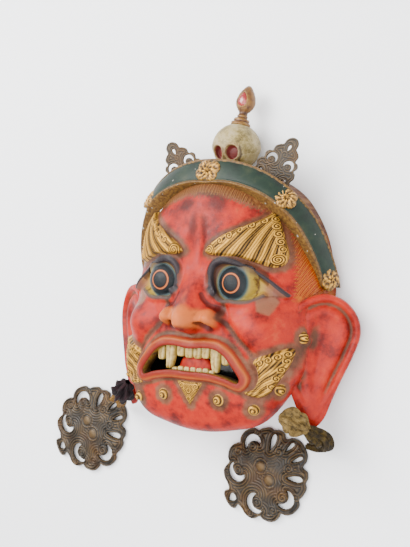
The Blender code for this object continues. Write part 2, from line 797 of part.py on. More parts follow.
def crown_plate(side, where, finish, seat):
    """A pierced leaf of brass that stands on the crown beside the skull."""
    half, height = CROWN_PLATE_WIDTH / 2, CROWN_PLATE_HEIGHT
    right = [(0.96, -0.42), (1.0, 0.10), (0.84, 0.22), (0.86, 0.36), (0.66, 0.48), (0.54, 0.62)]
    right += [(0.36, 0.80), (0.12, 0.98)]
    right = [(x * half, y * height) for x, y in right]
    outline = right + [(-x, y) for x, y in reversed(right)]
    holes = [teardrop(0.0, 0.68 * height, 0.18 * height, 0.20 * half, math.pi / 2)]
    holes += mirrored(crescent(0.44 * half, 0.28 * height, 0.24 * half, 0.14 * half, -0.6, 3.4))
    lean = 0.16
    outline, *holes = [[(x + lean * max(y, 0.0), y) for x, y in loop] for loop in (outline, *holes)]
    turn = CROWN_PLATE_TURN
    reach = CROWN_Y - 111 * FACE
    root = Vector((math.sin(turn) * reach, 121 * FACE + math.cos(turn) * reach, CROWN_PLATE_Z))
    place = Matrix.Translation(root) @ Matrix.Rotation(-turn, 4, "Z")
    name = "crown_plate_right"
    if side == -1:
        place = Matrix.Diagonal((-1.0, 1.0, 1.0, 1.0)) @ place
        name = "crown_plate_left"
    made = flat_plate(name, where, finish, outline, holes, place)
    boolean(made, seat, "DIFFERENCE")
    return made


# The middle of each bunch of silk, from the front of the ear's lobe down to the pendant's root, with its
# half width there as a share of the tie's width
TIE_PATHS = {
    1: [
        (101, -33, 80, 0.22),
        (110, -33, 76, 0.44),
        (120, -36, 72, 0.48),
        (130, -43, 64, 0.46),
        (137, -52, 47, 0.38),
        (131, -61, 28, 0.30),
        (114, -69, 14, 0.22),
        (98, -70, 8, 0.14),
    ],
    -1: [
        (-108, -13, 80, 0.16),
        (-114, -19, 77, 0.34),
        (-124, -28, 69, 0.42),
        (-137, -33, 58, 0.38),
        (-150, -34, 43, 0.38),
        (-162, -41, 24, 0.30),
        (-168, -50, 9, 0.15),
    ],
}


def tie(side, where, finish):
    """A bunch of silk between an ear lobe and a pendant, as a plain solid of its outer shape."""
    bm = bmesh.new()
    path = [Vector(stop[:3]) * FACE for stop in TIE_PATHS[side]]
    rings = []
    for k, middle in enumerate(path):
        run = path[min(k + 1, len(path) - 1)] - path[max(k - 1, 0)]
        across = run.cross(Vector((0.0, 0.0, 1.0))).normalized()
        up = across.cross(run).normalized()
        radius = TIE_PATHS[side][k][3] * TIE_WIDTH
        ring = []
        for corner in range(10):
            turned = math.pi * corner / 5
            ring.append(middle + (across * math.cos(turned) + up * (0.86 * math.sin(turned))) * radius)
        rings.append(ring)
    loft(bm, rings)
    return object_from(bm, "tie_right" if side == 1 else "tie_left", where, finish)


def main():
    for old in list(bpy.data.objects):
        bpy.data.objects.remove(old)
    parts = collection("guardian_mask")
    tools = collection("cutters", hidden=True)
    painted = material("painted_wood", (0.55, 0.06, 0.04), 0.5)
    bone = material("painted_skull", (0.60, 0.52, 0.32), 0.6)
    gilt = material("gilt_wood", (0.42, 0.28, 0.10), 0.45)
    brass = material("aged_brass", (0.25, 0.17, 0.10), 0.45, 1.0)
    silk = material("silk", (0.30, 0.25, 0.15), 0.8)
    mask(parts, tools, painted)
    seat = crown_seat(tools)
    top = skull(parts, bone, seat)
    finial(parts, gilt, top)
    for side in (1, -1):
        crown_plate(side, parts, brass, seat)
        pendant(side, parts, tools, brass)
        tie(side, parts, silk)


main()
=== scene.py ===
"""A carved and painted dance mask of a wrathful guardian, lying on its back rim, its ear pendants beside it.

Sizes in the pieces' sections are millimetres on the real mask. +Z comes out of the face and +Y runs to the
crown; +X is to the right of someone who faces the mask.
"""

import math

import bmesh
import bpy
import numpy as np
from mathutils import Matrix, Vector


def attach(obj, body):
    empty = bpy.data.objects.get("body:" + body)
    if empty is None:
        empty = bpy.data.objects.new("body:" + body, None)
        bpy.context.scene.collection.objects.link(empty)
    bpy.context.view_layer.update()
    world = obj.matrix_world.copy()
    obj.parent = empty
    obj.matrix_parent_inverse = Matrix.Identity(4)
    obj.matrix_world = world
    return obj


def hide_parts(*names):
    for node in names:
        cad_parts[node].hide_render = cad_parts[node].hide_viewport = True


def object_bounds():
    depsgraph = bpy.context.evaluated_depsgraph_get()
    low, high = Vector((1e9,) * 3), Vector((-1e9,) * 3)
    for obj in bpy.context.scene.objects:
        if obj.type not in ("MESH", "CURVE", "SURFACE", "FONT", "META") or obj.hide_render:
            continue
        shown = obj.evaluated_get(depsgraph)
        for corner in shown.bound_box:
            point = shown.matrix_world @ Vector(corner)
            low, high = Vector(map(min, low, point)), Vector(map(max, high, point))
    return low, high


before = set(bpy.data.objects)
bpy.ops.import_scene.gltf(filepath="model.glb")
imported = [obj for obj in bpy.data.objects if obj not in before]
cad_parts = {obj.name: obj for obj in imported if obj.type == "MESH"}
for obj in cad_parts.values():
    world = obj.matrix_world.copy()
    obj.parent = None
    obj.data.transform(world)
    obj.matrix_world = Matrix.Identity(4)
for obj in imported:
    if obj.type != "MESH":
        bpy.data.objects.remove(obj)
cad_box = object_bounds()


# Table, light and camera
# A pale matt table under soft daylight from the upper left. The camera looks down on the lying mask from
# its right cheek, as the photograph does on the upright one.
def paint_chart(code):
    """A colour of the paint chart as linear light."""
    channels = [int(code[i : i + 2], 16) / 255 for i in (1, 3, 5)]
    return (*[c / 12.92 if c <= 0.04045 else ((c + 0.055) / 1.055) ** 2.4 for c in channels], 1.0)


def add(tree, kind, feeds, out=0, stops=(), **settings):
    """Adds a node, sets it, feeds its sockets with values or other nodes' outputs, and gives one of its own."""
    node = tree.nodes.new("ShaderNode" + kind)
    for name, value in settings.items():
        setattr(node, name, value)
    for number, (position, code) in enumerate(stops):
        if number < 2:
            node.color_ramp.elements[number].position = position
        stop = node.color_ramp.elements[number] if number < 2 else node.color_ramp.elements.new(position)
        stop.color = paint_chart(code)
    for socket, value in feeds.items():
        if isinstance(value, bpy.types.NodeSocket):
            tree.links.new(value, node.inputs[socket])
        else:
            node.inputs[socket].default_value = value
    return node.outputs[out]


def new_finish(name):
    """A material with its node tree and its shader."""
    made = bpy.data.materials.new(name)
    made.use_nodes = True
    return made, made.node_tree, made.node_tree.nodes["Principled BSDF"]


view_back = Vector((0.5432, 0.0, 0.8396))
view_right = Vector((0.8387, 0.04536, -0.5426))
view_up = Vector((-0.03809, 0.99897, 0.02464))
lens = bpy.data.cameras.new("camera")
lens.lens = 69.1
camera = bpy.data.objects.new("camera", lens)
camera.matrix_world = Matrix.Translation((0.6579, 0.1258, 1.1057)) @ (
    Matrix((view_right, view_up, view_back)).transposed().to_4x4()
)
bpy.context.scene.collection.objects.link(camera)
bpy.context.scene.camera = camera

table_mesh = bpy.data.meshes.new("table")
bm = bmesh.new()
bmesh.ops.create_grid(bm, x_segments=1, y_segments=1, size=6.0)
bm.to_mesh(table_mesh)
bm.free()
table = bpy.data.objects.new("table", table_mesh)
bpy.context.scene.collection.objects.link(table)
table.location.z = cad_box[0].z - 0.0005

# Matt board: no gloss, one pale tone
board, tree, shader = new_finish("pale_board")
shader.inputs["Base Color"].default_value = paint_chart("#F2F2F3")
shader.inputs["Roughness"].default_value = 0.9
shader.inputs["Specular IOR Level"].default_value = 0.1
table_mesh.materials.append(board)

for name, place, size, watts in (
    ("window", (-0.75, 0.75, 1.15), 0.8, 42.0),
    ("room", (0.9, -0.5, 1.2), 1.4, 25.0),
    ("ceiling", (0.1, 0.3, 1.9), 2.0, 56.0),
):
    glow = bpy.data.lights.new(name, "AREA")
    glow.shape = "SQUARE"
    glow.size = size
    glow.energy = watts
    lamp = bpy.data.objects.new(name, glow)
    lamp.location = place
    lamp.rotation_euler = (Vector((0.0, 0.1, 0.05)) - Vector(place)).to_track_quat("-Z", "Y").to_euler()
    bpy.context.scene.collection.objects.link(lamp)
sky = bpy.data.worlds.new("sky")
sky.use_nodes = True
sky.node_tree.nodes["Background"].inputs["Color"].default_value = paint_chart("#F4F6FA")
sky.node_tree.nodes["Background"].inputs["Strength"].default_value = 1.35
bpy.context.scene.world = sky


# Carved head with its ears
# One block of light wood, hollowed from behind to a wall of about a centimetre, carved with gouges and
# knives, primed and painted. The mouth is cut through; the eyes are carved balls in deep sockets.
HEAD_WIDTH, HEAD_DEPTH, WALL, CHIN_OVERHANG = 254.0, 111.0, 11.0, 60.0
MIDDLE, CROWN_Y = 100.0, 251.0
OUTLINE = [
    (0.00, 251), (0.39, 241), (0.65, 220), (0.78, 199), (0.88, 175), (0.94, 150), (0.98, 121), (0.98, 90),
]
OUTLINE += [(1.00, 60), (0.985, 30), (0.94, 0), (0.83, -27), (0.66, -50), (0.36, -61), (0.00, -65)]
BOXINESS = [(0.0, 4.2), (30.0, 3.0), (60.0, 2.35), (90.0, 2.45), (120.0, 3.0), (150.0, 5.0), (180.0, 6.0)]
BROW = [(16, 150), (21, 158), (34, 167), (50, 176), (70, 188), (79, 197), (88, 182), (94, 165), (98, 148)]
BROW += [(95, 138), (86, 136), (70, 141), (51, 147), (27, 147)]
EYELID = [(26, 103), (21.5, 113), (21, 126), (26, 137), (38, 142.5), (54, 139.5), (76, 127), (101, 105)]
LOWER_LID = [(26, 103), (33, 97), (44, 95.5), (56, 94.5), (68, 96), (80, 103)]
EYE = (48.0, 116.5)
EYEBALL_RADIUS, EYEBALL_TOP = 26.0, 112.0
FOLD = [(38, 96), (42, 74), (56, 57), (72, 41), (86, 22), (88, 4)]
TUFT = [(78, 32), (94, 41), (111, 47), (110, 30), (102, 10), (93, -4), (83, -8), (69, -4), (79, 0), (84, 11)]
TUFT += [(82, 24)]
CHIN_TRIANGLE = [(-17, 2), (17, 2), (0, -24)]
STUDS = [(37, -15), (78, -23), (103, 1), (117, 59)]
STUD_RADIUS, STUD_HEIGHT = 7.8, 6.0
UPPER_LIP = [(0, 40), (18, 42), (33, 41.5), (45, 36), (55, 25.5), (65, 12)]
LOWER_LIP = [(0, 14), (26, 14), (46, 11), (57, 7.5), (64, 6)]
LIP_HEIGHT = 7.0
NOSE_TIP, NOSE_WING, BRIDGE = (0.0, 75.0), (30.0, 76.0), 134.0
WRINKLES = [[(15, 103), (20, 95), (28, 89), (36, 88)], [(20, 108), (26, 101), (33, 97)]]
HAIRLINE = [
    (0, 97), (19.5, 98.5), (35.5, 103), (44.6, 108), (55.3, 110.5), (67.9, 109), (78.3, 107), (110, 110),
]
HAIR_CENTRE = 121.0
HAIR_FOOT = [(0, 88), (23, 86), (45, 80), (57, 66), (72, 50), (92, 30), (180, 30)]
EAR = [(2, 90), (16, 103), (38, 109), (60, 102), (75, 85), (79, 64), (71, 39), (59, 12), (49, -12), (42, -30)]
EAR += [(32, -41), (20, -38), (10, -20), (0, 8), (-2, 50)]
EAR_ROOT, EAR_THICKNESS, EAR_SWEEP = (102.0, 64.0), 11.0, math.radians(36)


def rise(low, high, value):
    """0 below low, 1 above high and smooth between."""
    t = np.clip((value - low) / (high - low), 0.0, 1.0)
    return t * t * (3.0 - 2.0 * t)


def hill(distance, radius):
    """1 at the middle and 0 from the radius on, rounded at both."""
    t = np.clip(distance / radius, 0.0, 1.0)
    return (1.0 - t * t) ** 2


def oval(x, y, centre, radii, turn=0.0):
    """Distance from a centre in an oval's own radii, so 1 on the oval."""
    u, v = x - centre[0], y - centre[1]
    c, s = math.cos(turn), math.sin(turn)
    return np.hypot((u * c + v * s) / radii[0], (v * c - u * s) / radii[1])


def through(points, at):
    """A smooth curve through (position, value) points, read at the given positions."""
    x, v = np.array(points, float).T
    slope = np.gradient(v, x)
    i = np.clip(np.searchsorted(x, at) - 1, 0, len(x) - 2)
    width = x[i + 1] - x[i]
    t = np.clip((at - x[i]) / width, 0.0, 1.0)
    start = v[i] * (1 + 2 * t) * (1 - t) ** 2 + slope[i] * width * t * (1 - t) ** 2
    end = v[i + 1] * t * t * (3 - 2 * t) + slope[i + 1] * width * t * t * (t - 1)
    return start + end


def along_line(x, y, points):
    """Distance to a line through points."""
    best = np.full(np.shape(x), 1e9)
    for a, b in zip(points, points[1:]):
        d = np.array(b, float) - np.array(a, float)
        t = np.clip(((x - a[0]) * d[0] + (y - a[1]) * d[1]) / (d @ d), 0.0, 1.0)
        best = np.minimum(best, np.hypot(x - a[0] - t * d[0], y - a[1] - t * d[1]))
    return best


def inside(x, y, outline):
    """Signed distance to a closed outline: positive inside it."""
    edge = along_line(x, y, [*outline, outline[0]])
    within = np.zeros(np.shape(x), bool)
    for (x0, y0), (x1, y1) in zip(outline, [*outline[1:], outline[0]]):
        if y0 != y1:
            within ^= ((y0 > y) != (y1 > y)) & (x < (x1 - x0) * (y - y0) / (y1 - y0) + x0)
    return np.where(within, edge, -edge)


def smooth_loop(points, count):
    """Points spaced evenly along a smooth closed curve through the given ones."""
    p = np.array([points[-1], *points, points[0], points[1]], float)
    fine = []
    for a, b, c, d in zip(p, p[1:], p[2:], p[3:]):
        for t in np.linspace(0.0, 1.0, 12, endpoint=False):
            bend = (2 * a - 5 * b + 4 * c - d) * t**2 + (3 * b - a - 3 * c + d) * t**3
            fine.append(0.5 * (2 * b + (c - a) * t + bend))
    fine = np.array([*fine, fine[0]])
    reach = np.concatenate([[0.0], np.cumsum(np.linalg.norm(np.diff(fine, axis=0), axis=1))])
    at = np.linspace(0.0, reach[-1], count, endpoint=False)
    return np.stack([np.interp(at, reach, fine[:, k]) for k in range(2)], axis=1)


def smooth_line(points):
    """Points along a smooth open curve through the given ones."""
    p = np.array([points[0], *points, points[-1]], float)
    curve = []
    for a, b, c, d in zip(p, p[1:], p[2:], p[3:]):
        for t in np.linspace(0.0, 1.0, 5, endpoint=False):
            bend = (2 * a - 5 * b + 4 * c - d) * t**2 + (3 * b - a - 3 * c + d) * t**3
            curve.append(tuple(0.5 * (2 * b + (c - a) * t + bend)))
    return [*curve, points[-1]]


def both(points):
    """Places on the right joined to their mirror images."""
    return [(-x, y) for x, y in reversed(points) if x > 0] + list(points)


def spiral(x, y, centre, radius, pitch=2.5, hand=1.0):
    """A carved curl: its height from -1 to 1, and a mask that is 1 on it."""
    u, v = x - centre[0], y - centre[1]
    away = np.hypot(u, v)
    return np.cos(2 * np.pi * away / pitch - hand * np.arctan2(v, u)), 1 - rise(0.85 * radius, radius, away)


def head_form(directions, inset=0.0):
    """Points of the head's smooth form in the given directions from the middle of its rim plane."""
    dx, dy, dz = directions.T
    flat = np.hypot(dx, dy)
    turn = np.degrees(np.arctan2(np.abs(dx), dy))
    half = HEAD_WIDTH / 2
    edge = [(share * half, y - MIDDLE) for share, y in OUTLINE]
    reach = through([(math.degrees(math.atan2(x, y)), math.hypot(x, y)) for x, y in edge], turn) - inset
    box = through(BOXINESS, turn)
    size = (flat**box + dz**box) ** (1.0 / box)
    z = dz / size * (HEAD_DEPTH - inset)
    unit = np.maximum(flat, 1e-9)
    x = flat / size * reach * dx / unit
    y = MIDDLE + flat / size * reach * dy / unit
    slope = CHIN_OVERHANG * (1.0 - rise(0.0, 0.88 * HEAD_DEPTH, z)) * (1.0 - rise(-40, 95, y))
    return np.stack([x, y + slope, z], axis=1)


def half_cube(cuts):
    """The upper half of a cube of even squares."""
    bm = bmesh.new()
    bmesh.ops.create_cube(bm, size=2.0)
    bmesh.ops.subdivide_edges(bm, edges=bm.edges[:], cuts=cuts, use_grid_fill=True)
    below = [f for f in bm.faces if f.calc_center_median().z < 0.0]
    bmesh.ops.delete(bm, geom=below, context="FACES")
    return bm


def directions_of(cube_points):
    """Directions that spread evenly over the ball, from points on the half cube."""
    spread = np.tan(np.array(cube_points) * math.pi / 4)
    spread[:, 2] = np.maximum(spread[:, 2], 0.0)
    return spread / np.linalg.norm(spread, axis=1, keepdims=True)


def put(bm, points):
    """Moves the bmesh's points to the given places in millimetres."""
    for v, p in zip(bm.verts, points):
        v.co = p * 0.001
    bm.normal_update()


def places(bm):
    """The bmesh's points in millimetres, and their normals."""
    return np.array([v.co for v in bm.verts]) * 1000, np.array([v.normal for v in bm.verts])


def close_below(bm, depth=0.0):
    """Closes an open dome with a flat face at a height of minus depth, in millimetres."""
    rim = [e for e in bm.edges if e.is_boundary]
    if depth:
        made = bmesh.ops.extrude_edge_only(bm, edges=rim)["geom"]
        rim = [e for e in made if isinstance(e, bmesh.types.BMEdge) and e.is_boundary]
    for v in {v for e in rim for v in e.verts}:
        v.co.z = -depth * 0.001
    bmesh.ops.contextual_create(bm, geom=rim)


def finished(bm, name, finish=None):
    """The bmesh as a piece in the scene, at the origin, shaded smooth."""
    mesh = bpy.data.meshes.new(name)
    bmesh.ops.recalc_face_normals(bm, faces=bm.faces[:])
    bm.to_mesh(mesh)
    bm.free()
    mesh.shade_smooth()
    if finish:
        mesh.materials.append(finish)
    piece = bpy.data.objects.new(name, mesh)
    bpy.context.scene.collection.objects.link(piece)
    return piece


def write(mesh, values):
    """Keeps values on a mesh's points, for its paint to read."""
    for name, value in values.items():
        layer = mesh.attributes.new(name, "FLOAT", "POINT")
        layer.data.foreach_set("value", np.broadcast_to(value, len(mesh.vertices)).astype(np.float32))


def cut_or_join(piece, tool, operation):
    """Cuts tool out of piece, or joins it on, for good."""
    step = piece.modifiers.new("step", "BOOLEAN")
    step.operation = operation
    step.solver = "MANIFOLD"
    step.object = tool
    graph = bpy.context.evaluated_depsgraph_get()
    mesh = bpy.data.meshes.new_from_object(piece.evaluated_get(graph))
    piece.modifiers.clear()
    piece.data = mesh
    bpy.data.objects.remove(tool)


def loft(bm, rings):
    """Joins rings of points, in millimetres, into one closed body with a face at each end."""
    ring = bmesh.ops.create_circle(bm, segments=len(rings[0]), cap_ends=True)["verts"]
    for v, place in zip(ring, rings[0]):
        v.co = Vector(place) * 0.001
    for level in rings[1:]:
        edges = [bm.edges.get(pair) for pair in zip(ring, ring[1:] + ring[:1])]
        made = bmesh.ops.extrude_edge_only(bm, edges=edges)["geom"]
        above = {}
        for v in (v for v in made if isinstance(v, bmesh.types.BMVert)):
            for edge in v.link_edges:
                above[edge.other_vert(v)] = v
        ring = [above[v] for v in ring]
        for v, place in zip(ring, level):
            v.co = Vector(place) * 0.001
    bmesh.ops.contextual_create(bm, geom=[bm.edges.get(pair) for pair in zip(ring, ring[1:] + ring[:1])])


MOUTH = smooth_loop(both(UPPER_LIP) + both(LOWER_LIP)[::-1], 90)
EYELID, LOWER_LID, FOLD = smooth_line(EYELID), smooth_line(LOWER_LID), smooth_line(FOLD)
BROW, TUFT = smooth_loop(BROW, 60), smooth_loop(TUFT, 60)
EYE_OPENING = EYELID[::-1] + LOWER_LID[1:]


def carve_large(p):
    """Brow ridges, eye sockets, cheeks and nose: moves the smooth head's points."""
    x, y, z = p.T.copy()
    side = np.abs(x)
    front = rise(20, 60, z)
    z = z + 9 * hill(oval(side, y, (52, 163), (54, 30), 0.25), 1.0) * front
    z = z - 9 * hill(oval(side, y, (54, 116), (44, 27)), 1.0) * front
    z = z - 5 * hill(oval(x, y, (0, 160), (15, 42)), 1.0) * front
    cheek = hill(oval(side, y, (82, 68), (34, 32)), 1.0)
    z = z + 12 * cheek * front
    x = x + np.sign(x) * 4 * cheek * front
    down = np.clip((BRIDGE - y) / (BRIDGE - NOSE_TIP[1]), 0.0, 1.0)
    under = rise(NOSE_TIP[1] - 15, NOSE_TIP[1] - 4, y)
    ridge = 26 * rise(0.0, 1.0, down) ** 0.8 * hill(side, 18 + 20 * down)
    tip = 9 * hill(oval(x, y, NOSE_TIP, (21, 17)), 1.0)
    wing = 20 * hill(oval(side, y, NOSE_WING, (16, 14)), 1.0) ** 0.6
    z = z + (np.maximum(ridge, wing) + 0.35 * np.minimum(ridge, wing) + tip) * under * front
    y = y - 7 * hill(oval(x, y, (0, NOSE_TIP[1] - 9), (15, 14)), 1.0) * front
    return np.stack([x, y, z], axis=1)


def raise_eyeballs(p):
    """Lifts the middle of each socket onto a ball."""
    x, y, z = p.T.copy()
    away = np.hypot(np.abs(x) - EYE[0], y - EYE[1])
    ball = EYEBALL_TOP - EYEBALL_RADIUS + np.sqrt(np.maximum(EYEBALL_RADIUS**2 - away**2, 0.0))
    return np.stack([x, y, np.where((away < EYEBALL_RADIUS) & (z > 50), np.maximum(z, ball), z)], axis=1)


def gilt_carving(x, y, studs):
    """Strands and curls of the gilt parts, from -1 in a groove to 1 on a ridge."""
    side = np.abs(x)
    away, turn = np.hypot(96 - side, 214 - y), np.arctan2(214 - y, 96 - side)
    thin = np.cos(168 * turn + 1.6 * np.sin(away / 11 + 6 * turn) + 0.8 * np.sin(away / 4.1 + 31 * turn))
    brow = 0.55 * thin + 0.6 * np.cos(47 * turn + 1.3 * np.sin(away / 14) + 2.0 * np.sin(9 * turn))
    away, turn = np.hypot(side - 60, y + 20), np.arctan2(y + 20, side - 60)
    tuft = 0.6 * np.cos(118 * turn + 1.8 * np.sin(away / 7))
    tuft = tuft + 0.5 * np.cos(37 * turn + 2.0 * np.sin(away / 9))
    relief = np.where(y > 100, brow, tuft)
    relief = np.where((side < 20) & (y < 10), np.cos(2.3 * x) * np.cos(2.3 * y), relief)
    curls = [((25, 152), 7.5, 1), ((89, 144), 7.5, -1)]
    curls += [((37 + 9.0 * k, 162.0 + 5.6 * k), 3.6 + 0.5 * (k % 2), 1) for k in range(5)]
    curls += [((81.5 + 2.6 * k, 188.0 - 8.0 * k), 4.2 + 0.4 * (k % 2), -1) for k in range(5)]
    curls += [((84 + 7.5 * k, 29.5 + 3.7 * k), 4.0, 1) for k in range(4)]
    curls += [((106.5 - 3.6 * k, 33 - 9.5 * k), 4.0, -1) for k in range(4)]
    curls += [((9.5, -2.5), 4.6, 1), ((0, -8), 4.0, 1), ((0, -16), 3.2, -1)]
    for centre, radius, hand in curls:
        height, mask = spiral(side, y, centre, radius, 2.3, hand)
        relief = relief + (height - relief) * mask
    for centre in studs:
        height, mask = spiral(side, y, centre, STUD_RADIUS, 3.1, 1)
        relief = relief + (height - relief) * mask
    return relief


def carve_relief(p, n):
    """Lids, lips, brows, tufts, studs and hair: points moved along the normals, and what the paint needs."""
    x, y, z = p.T
    side = np.abs(x)
    front = rise(12, 40, z)
    lid, low_lid, fold = (along_line(side, y, line) for line in (EYELID, LOWER_LID, FOLD))
    brow, tuft, triangle = inside(side, y, BROW), inside(side, y, TUFT), inside(x, y, CHIN_TRIANGLE)
    lips = -inside(x, y, MOUTH)
    out = 6.0 * hill(lid, 6.5) + 4.0 * hill(low_lid, 6) - 4.0 * hill(fold, 9)
    out += 6.0 * rise(-2, 4, brow) + 4.5 * rise(-1, 3, tuft) + 3.0 * rise(-1, 2.5, triangle)
    nostril = oval(side, y, (NOSE_TIP[0] + 21, NOSE_TIP[1] - 9), (10, 6), -0.25)
    out -= 9.0 * hill(nostril, 1.0)
    lips = lips * (1 + 0.25 * (1 - rise(2, 14, y)))
    lip_wave = 0.9 * np.sin(side / 6.0 + 1.0) * np.sin(y / 7.0) + 0.5 * np.sin(side / 2.7)
    out += LIP_HEIGHT * hill(lips - 4, 10) * rise(-6, 2, lips)
    out += 1.3 * hill(np.abs(lips - 8.2 - lip_wave), 2.6) - 0.7 * hill(np.abs(lips - 4.8 - lip_wave), 2.0)
    wrinkle = np.min([along_line(side, y, smooth_line(line)) for line in WRINKLES], axis=0)
    out -= 1.1 * hill(wrinkle, 3.0)
    gilt = np.maximum(np.maximum(brow, tuft), triangle)
    studs = []
    for place in STUDS:
        nearest = p[np.argmin(np.hypot(side - place[0], y - place[1]) - 0.2 * z)]
        away = np.hypot(np.hypot(side - abs(nearest[0]), y - nearest[1]), z - nearest[2])
        out += STUD_HEIGHT * hill(away, STUD_RADIUS)
        gilt = np.maximum(gilt, 0.86 * STUD_RADIUS - away)
        studs.append((abs(nearest[0]), nearest[1]))
    carving = gilt_carving(x, y, studs)
    out += 0.6 * carving * rise(0.0, 1.5, gilt)

    # Hair combed back to the band, in strokes that run towards it
    radius, turn = np.hypot(x, y - HAIR_CENTRE), np.degrees(np.arctan2(side, y - HAIR_CENTRE))
    ragged = 1.6 * np.sin(turn * 2.9) + 1.2 * np.sin(turn * 7.3) + 1.0 * np.sin(turn * 17.0)
    hair = np.minimum(radius - through(HAIRLINE, turn) - ragged, (101 - turn) * 0.9)
    combed = radius * np.sin(np.radians(0.65 * turn))
    stroke = 0.7 * np.cos(2 * np.pi * combed / 1.15 + 1.4 * np.sin(radius / 3.3 + turn * 0.8))
    stroke = stroke + 0.4 * np.cos(2 * np.pi * combed / 2.1 + 2.2 * np.sin(radius / 5.0 + turn * 0.45))
    foot = through(HAIR_FOOT, turn)
    out += 0.33 * stroke * rise(-1.0, 2.0, hair) * rise(foot - 3, foot + 1, z)

    away = np.hypot(side - EYE[0], y - EYE[1])
    inner = 0.75 + 0.75 * (1 - rise(30, 80, side))
    lid_share = np.where(side > 18, lid / inner, 20.0)
    # A painted highlight in orange on the tip, wings and bridge of the nose and the top of the upper lip
    painted_highlight = 1.25 * hill(oval(side, y, (12, 75), (36, 19)), 1.0)
    painted_highlight = painted_highlight + 0.9 * hill(oval(side, y, NOSE_WING, (17, 15)), 1.0)
    painted_highlight = painted_highlight + 0.45 * hill(oval(side, y, (0, 92), (12, 34)), 1.0)
    # Painted shade in the wrinkles, the nostrils, the fold and under the nose wings, with maroon patches on the
    # forehead and beside the upper lip
    dark = 1.1 * hill(wrinkle, 4.0) + 1.6 * hill(nostril, 1.15) + 0.7 * hill(fold, 5)
    dark = dark + 0.5 * hill(np.abs(oval(side, y, NOSE_WING, (16, 14)) - 1.0), 0.25) * rise(60, 66, y)
    for strength, centre, radii in (
        (0.6, (22, 206), (18, 14)),
        (0.55, (8, 176), (9, 24)),
        (0.5, (28, 60), (16, 9)),
        (0.52, (0, 194), (80, 44)),
    ):
        dark = dark + strength * hill(oval(side, y, centre, radii), 1.0)
    # Smoky brown washes round the gilt, the lips, the hairline and under the eyes, and painted shade along the
    # fold
    smoke_and_shade = np.maximum(0.95 * hill(np.maximum(-gilt, 0.0), 14.0), 0.9 * hill(np.abs(lips - 13.5), 7.0))
    smoke_and_shade = np.maximum(smoke_and_shade, 0.9 * hill(fold, 7.0))
    smoke_and_shade = np.maximum(smoke_and_shade, 0.8 * rise(-10, -1, hair) * (1 - rise(50, 80, turn)))
    off_eye = np.maximum(-inside(side, y, EYE_OPENING), 0.0)
    smoke_and_shade = np.maximum(smoke_and_shade, 0.9 * hill(off_eye + 2.0, 9.0) * (y < EYE[1] + 8))
    lid_shade = hill(np.maximum(lid - 1.0, 0.0), 8.0) * (away > 17) * (side < 84)
    patch = inside(side, y, [(72, 99), (92, 104), (96, 98), (92, 82), (78, 86)])
    values = {
        "gilt": np.where(front > 0.1, gilt, -20.0),
        "carving": np.where(gilt > -1, carving, 0.0),
        "smoke_and_shade": smoke_and_shade * front,
        "lips": np.where(front > 0.5, lips, 60.0),
        "lid": np.where(front > 0.5, lid_share, 20.0),
        "low_lid": np.where(front > 0.5, low_lid, 20.0),
        "eye": np.where(front > 0.5, inside(side, y, EYE_OPENING), -20.0),
        "iris": away,
        "outward": side - EYE[0],
        "painted_highlight": painted_highlight * front,
        "dark": dark * front,
        "hair": hair,
        "temple": rise(58, 84, turn),
        "edge": rise(133, 137, radius) * (turn < 112),
        "patch": np.where(front > 0.5, patch, -20.0),
        "shade": np.where(front > 0.5, lid_shade, 0.0),
        "stroke": stroke,
        "hollow": 0.0,
    }
    return p + (out * front)[:, None] * n, values


bm = half_cube(81)
centres = np.array([f.calc_center_median() for f in bm.faces])
x, y, z = carve_large(head_form(directions_of(centres))).T
side = np.abs(x)
fine = (inside(side, y, BROW) > -2) | (inside(side, y, CHIN_TRIANGLE) > -1.5)
fine |= (inside(side, y, TUFT) > -1.5) & (z > 60)
for place in STUDS:
    fine |= np.hypot(side - place[0], y - place[1]) < STUD_RADIUS + 2
turn = np.degrees(np.arctan2(side, y - HAIR_CENTRE))
combed = np.hypot(x, y - HAIR_CENTRE) - through(HAIRLINE, turn)
fine |= (combed > -3) & (combed < 24) & (turn < 98) & (z > through(HAIR_FOOT, turn))
fine &= z > 25
middling = (oval(side, y, (56, 118), (56, 34)) < 1) | (oval(x, y, (0, 86), (52, 46)) < 1)
middling |= np.abs(inside(x, y, MOUTH)) < 17
middling &= (z > 40) & ~fine
bm.faces.ensure_lookup_table()
fine_edges = {e for f, wanted in zip(bm.faces, fine) if wanted for e in f.edges}
middling_edges = {e for f, wanted in zip(bm.faces, middling) if wanted for e in f.edges} - fine_edges
bmesh.ops.subdivide_edges(bm, edges=list(fine_edges), cuts=3, use_grid_fill=True)
bmesh.ops.subdivide_edges(bm, edges=list(middling_edges), cuts=1, use_grid_fill=True)
put(bm, carve_large(head_form(directions_of([v.co for v in bm.verts]))))
put(bm, raise_eyeballs(places(bm)[0]))
points, paint = carve_relief(*places(bm))
put(bm, points)
close_below(bm)
head = finished(bm, "carved_head")
write(head.data, paint)
unpainted = dict.fromkeys(paint, 0.0)
unpainted |= {"gilt": -20.0, "lips": 60.0, "lid": 20.0, "low_lid": 20.0, "eye": -20.0, "iris": 60.0}
unpainted |= {"hair": -20.0, "patch": -20.0}

